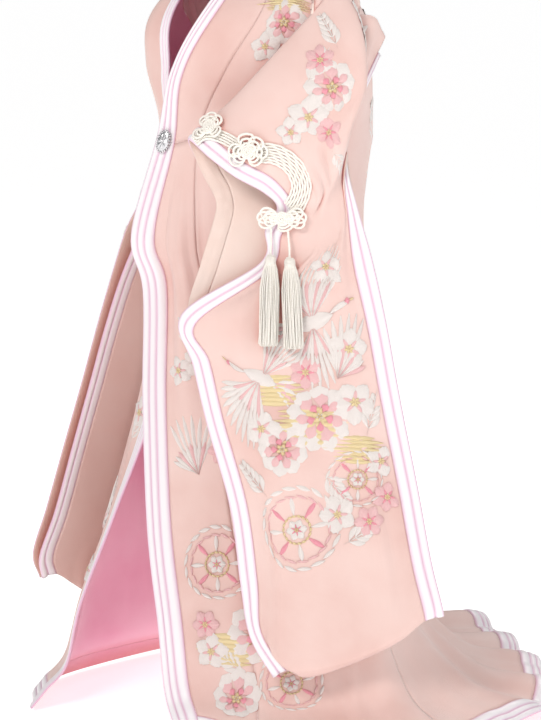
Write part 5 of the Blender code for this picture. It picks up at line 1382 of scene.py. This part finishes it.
def makeCuff(side, sheet, place):
    trim, span = cuffs[side], (0, backEdge)
    reach = (sheet.middle, sheet.middle + 8)
    for number, (along, height, halfWidth, halfHeight, _) in enumerate(trim["knots"], 1):
        centre = placeOn(sheet, place, along, height, reach, span)
        makeKnot(side, number, sheet, centre, halfWidth, halfHeight, span)
    ends = braidEnds[side]     # the cords run on under the knots at both ends
    laid = [ends[0]] + trim["braid"] + [ends[1]]
    route = [placeOn(sheet, place, along, height, reach, span) for along, height in laid]
    makeBraid(side, sheet, route, span)
    if side == "left":
        run = [placeOn(sheet, place, along, height, reach, span) for along, height in cordRun]
        strands = []
        offsets = np.linspace(-0.5, 0.5, cordSizes["runCords"]) * cordSizes["runWidth"]
        for path, normal in clothCords(sheet, run, span, offsets, cordSizes["rise"]):
            strands += plied(path, normal)
        strandPiece("cord_run_left", strands, cordSizes["strandShare"] * cordSizes["radius"],
                    cordSizes["sides"], ivoryCord, [])
    for number, (along, height) in enumerate(trim["tassels"], 1):
        hung = []
        for fall in (0.0, tasselLength):
            row, column = placeOn(sheet, place, along, height - fall, reach, span)
            point, out = sheet.at(row, column, span)
            hung.append(point + tasselStand * out)
        makeTasselCords(side, number, hung[0], hung[1])


makeCuff("left", left, leftPlace)
makeCuff("right", right, rightPlace)
print("cords and tassels made")


# the silver clip that holds the fronts together
clipSizes = {"width": 0.028, "height": 0.042, "dome": 0.0036, "beads": 22}


def makeClipPiece():
    point, normal = body.at(clipLevel, 13.5, (bandLeft, frontEdgeLeft))
    across = np.cross((0, 0, 1), normal)
    across /= np.linalg.norm(across)
    rise = np.cross(normal, across)
    tilt = math.radians(clipTilt)
    over = math.cos(tilt) * across + math.sin(tilt) * rise
    up = math.cos(tilt) * rise - math.sin(tilt) * across
    centre = point + (bandRoll + trimGap + 0.001) * normal
    bm = bmesh.new()
    a, b = clipSizes["width"] / 2 - 0.003, clipSizes["height"] / 2 - 0.003
    bmesh.ops.create_uvsphere(bm, u_segments=48, v_segments=24, radius=1.0)
    for vertex in bm.verts:
        x, y, z = vertex.co
        angle, reach = math.atan2(y, x), math.hypot(x, y)
        petal = 1 + 0.18 * reach * (1 - reach) * 4 * math.cos(8 * angle)
        vertex.co = centre + a * x * over + b * y * up + (z * clipSizes["dome"] * petal + 0.0026) * normal
    for k in range(clipSizes["beads"]):
        angle = 2 * math.pi * k / clipSizes["beads"]
        made = bmesh.ops.create_uvsphere(bm, u_segments=10, v_segments=7, radius=1.0)["verts"]
        place = centre + (a + 0.0012) * math.cos(angle) * over + (b + 0.0012) * math.sin(angle) * up
        place = place + 0.0022 * normal
        for vertex in made:
            x, y, z = vertex.co
            vertex.co = place + 0.0021 * (x * over + y * up + z * normal)
    mesh = bpy.data.meshes.new("silver_clip")
    bmesh.ops.recalc_face_normals(bm, faces=bm.faces)
    bm.to_mesh(mesh)
    bm.free()
    mesh.shade_smooth()
    mesh.materials.append(silverPlate)
    piece = bpy.data.objects.new("silver_clip", mesh)
    bpy.context.scene.collection.objects.link(piece)
    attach(piece, "root")
    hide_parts("front_clip")


makeClipPiece()
print("clip made")


studio = {
    "floor": -shoulderHeight,
    "floorReach": 300.0,
    "floorGlow": 0.6,
    "skyLight": 0.42,
    "aimHeight": -0.73,
    "aimSide": 0.0155,
    "distance": 5.0,
    "lens": 137.5,
    # name, place, aim, size in metres, watts, colour
    "lights": [
        ("key", (2.4, -3.4, 2.0), (0, 0, -0.6), 1.5, 92, "#FFF9F6"),
        ("fill", (4.2, 1.5, 1.2), (0, 0, -0.6), 3.0, 40, "#FFFFFF"),
        ("back", (-2.0, 3.0, 2.4), (0, 0, -0.5), 2.0, 48, "#FFFFFF"),
    ],
}


def areaLight(name, place, aim, size, power, colour):
    light = bpy.data.lights.new(name, "AREA")
    light.shape, light.size, light.energy, light.color = "DISK", size, power, hexColour(colour)[:3]
    lamp = bpy.data.objects.new(name, light)
    lamp.location = place
    bpy.context.scene.collection.objects.link(lamp)
    turnTo(lamp, aim)


def turnTo(thing, aim):
    direction = Vector(aim) - Vector(thing.location)
    thing.rotation_euler = direction.to_track_quat("-Z", "Y").to_euler()


def makeStudio():
    mesh = bpy.data.meshes.new("studio_floor")
    reach = studio["floorReach"]
    points = [(x * reach, y * reach, studio["floor"]) for x, y in ((-1, -1), (1, -1), (1, 1), (-1, 1))]
    mesh.from_pydata(points, [], [(0, 1, 2, 3)])
    paper = plainFinish("white_studio_floor", ("#F6F5F5", "#FAFAFA"), 0.75)
    glow = paper.node_tree.nodes["Principled BSDF"]
    glow.inputs["Emission Color"].default_value = hexColour("#FFFFFF")
    glow.inputs["Emission Strength"].default_value = studio["floorGlow"]
    mesh.materials.append(paper)
    floor = bpy.data.objects.new("studio_floor", mesh)
    bpy.context.scene.collection.objects.link(floor)
    world = bpy.data.worlds.new("studio_light")
    world.use_nodes = True
    world.node_tree.nodes["Background"].inputs["Color"].default_value = hexColour("#FFFFFF")
    world.node_tree.nodes["Background"].inputs["Strength"].default_value = studio["skyLight"]
    bpy.context.scene.world = world
    for light in studio["lights"]:
        areaLight(*light)
    camera = bpy.data.objects.new("camera", bpy.data.cameras.new("camera"))
    camera.data.lens = studio["lens"]
    bpy.context.scene.collection.objects.link(camera)
    rightward, backward = np.array([0.53, 0.848, 0.0]), np.array([0.84, -0.525, 0.139])
    aim = np.array([0, 0, studio["aimHeight"]]) + studio["aimSide"] * rightward
    camera.location = aim + studio["distance"] * backward
    turnTo(camera, aim)
    bpy.context.scene.camera = camera
    bpy.context.scene.view_settings.view_transform = "Standard"


makeStudio()
print("studio made")
print("cut sizes", json.dumps(cutSizes))
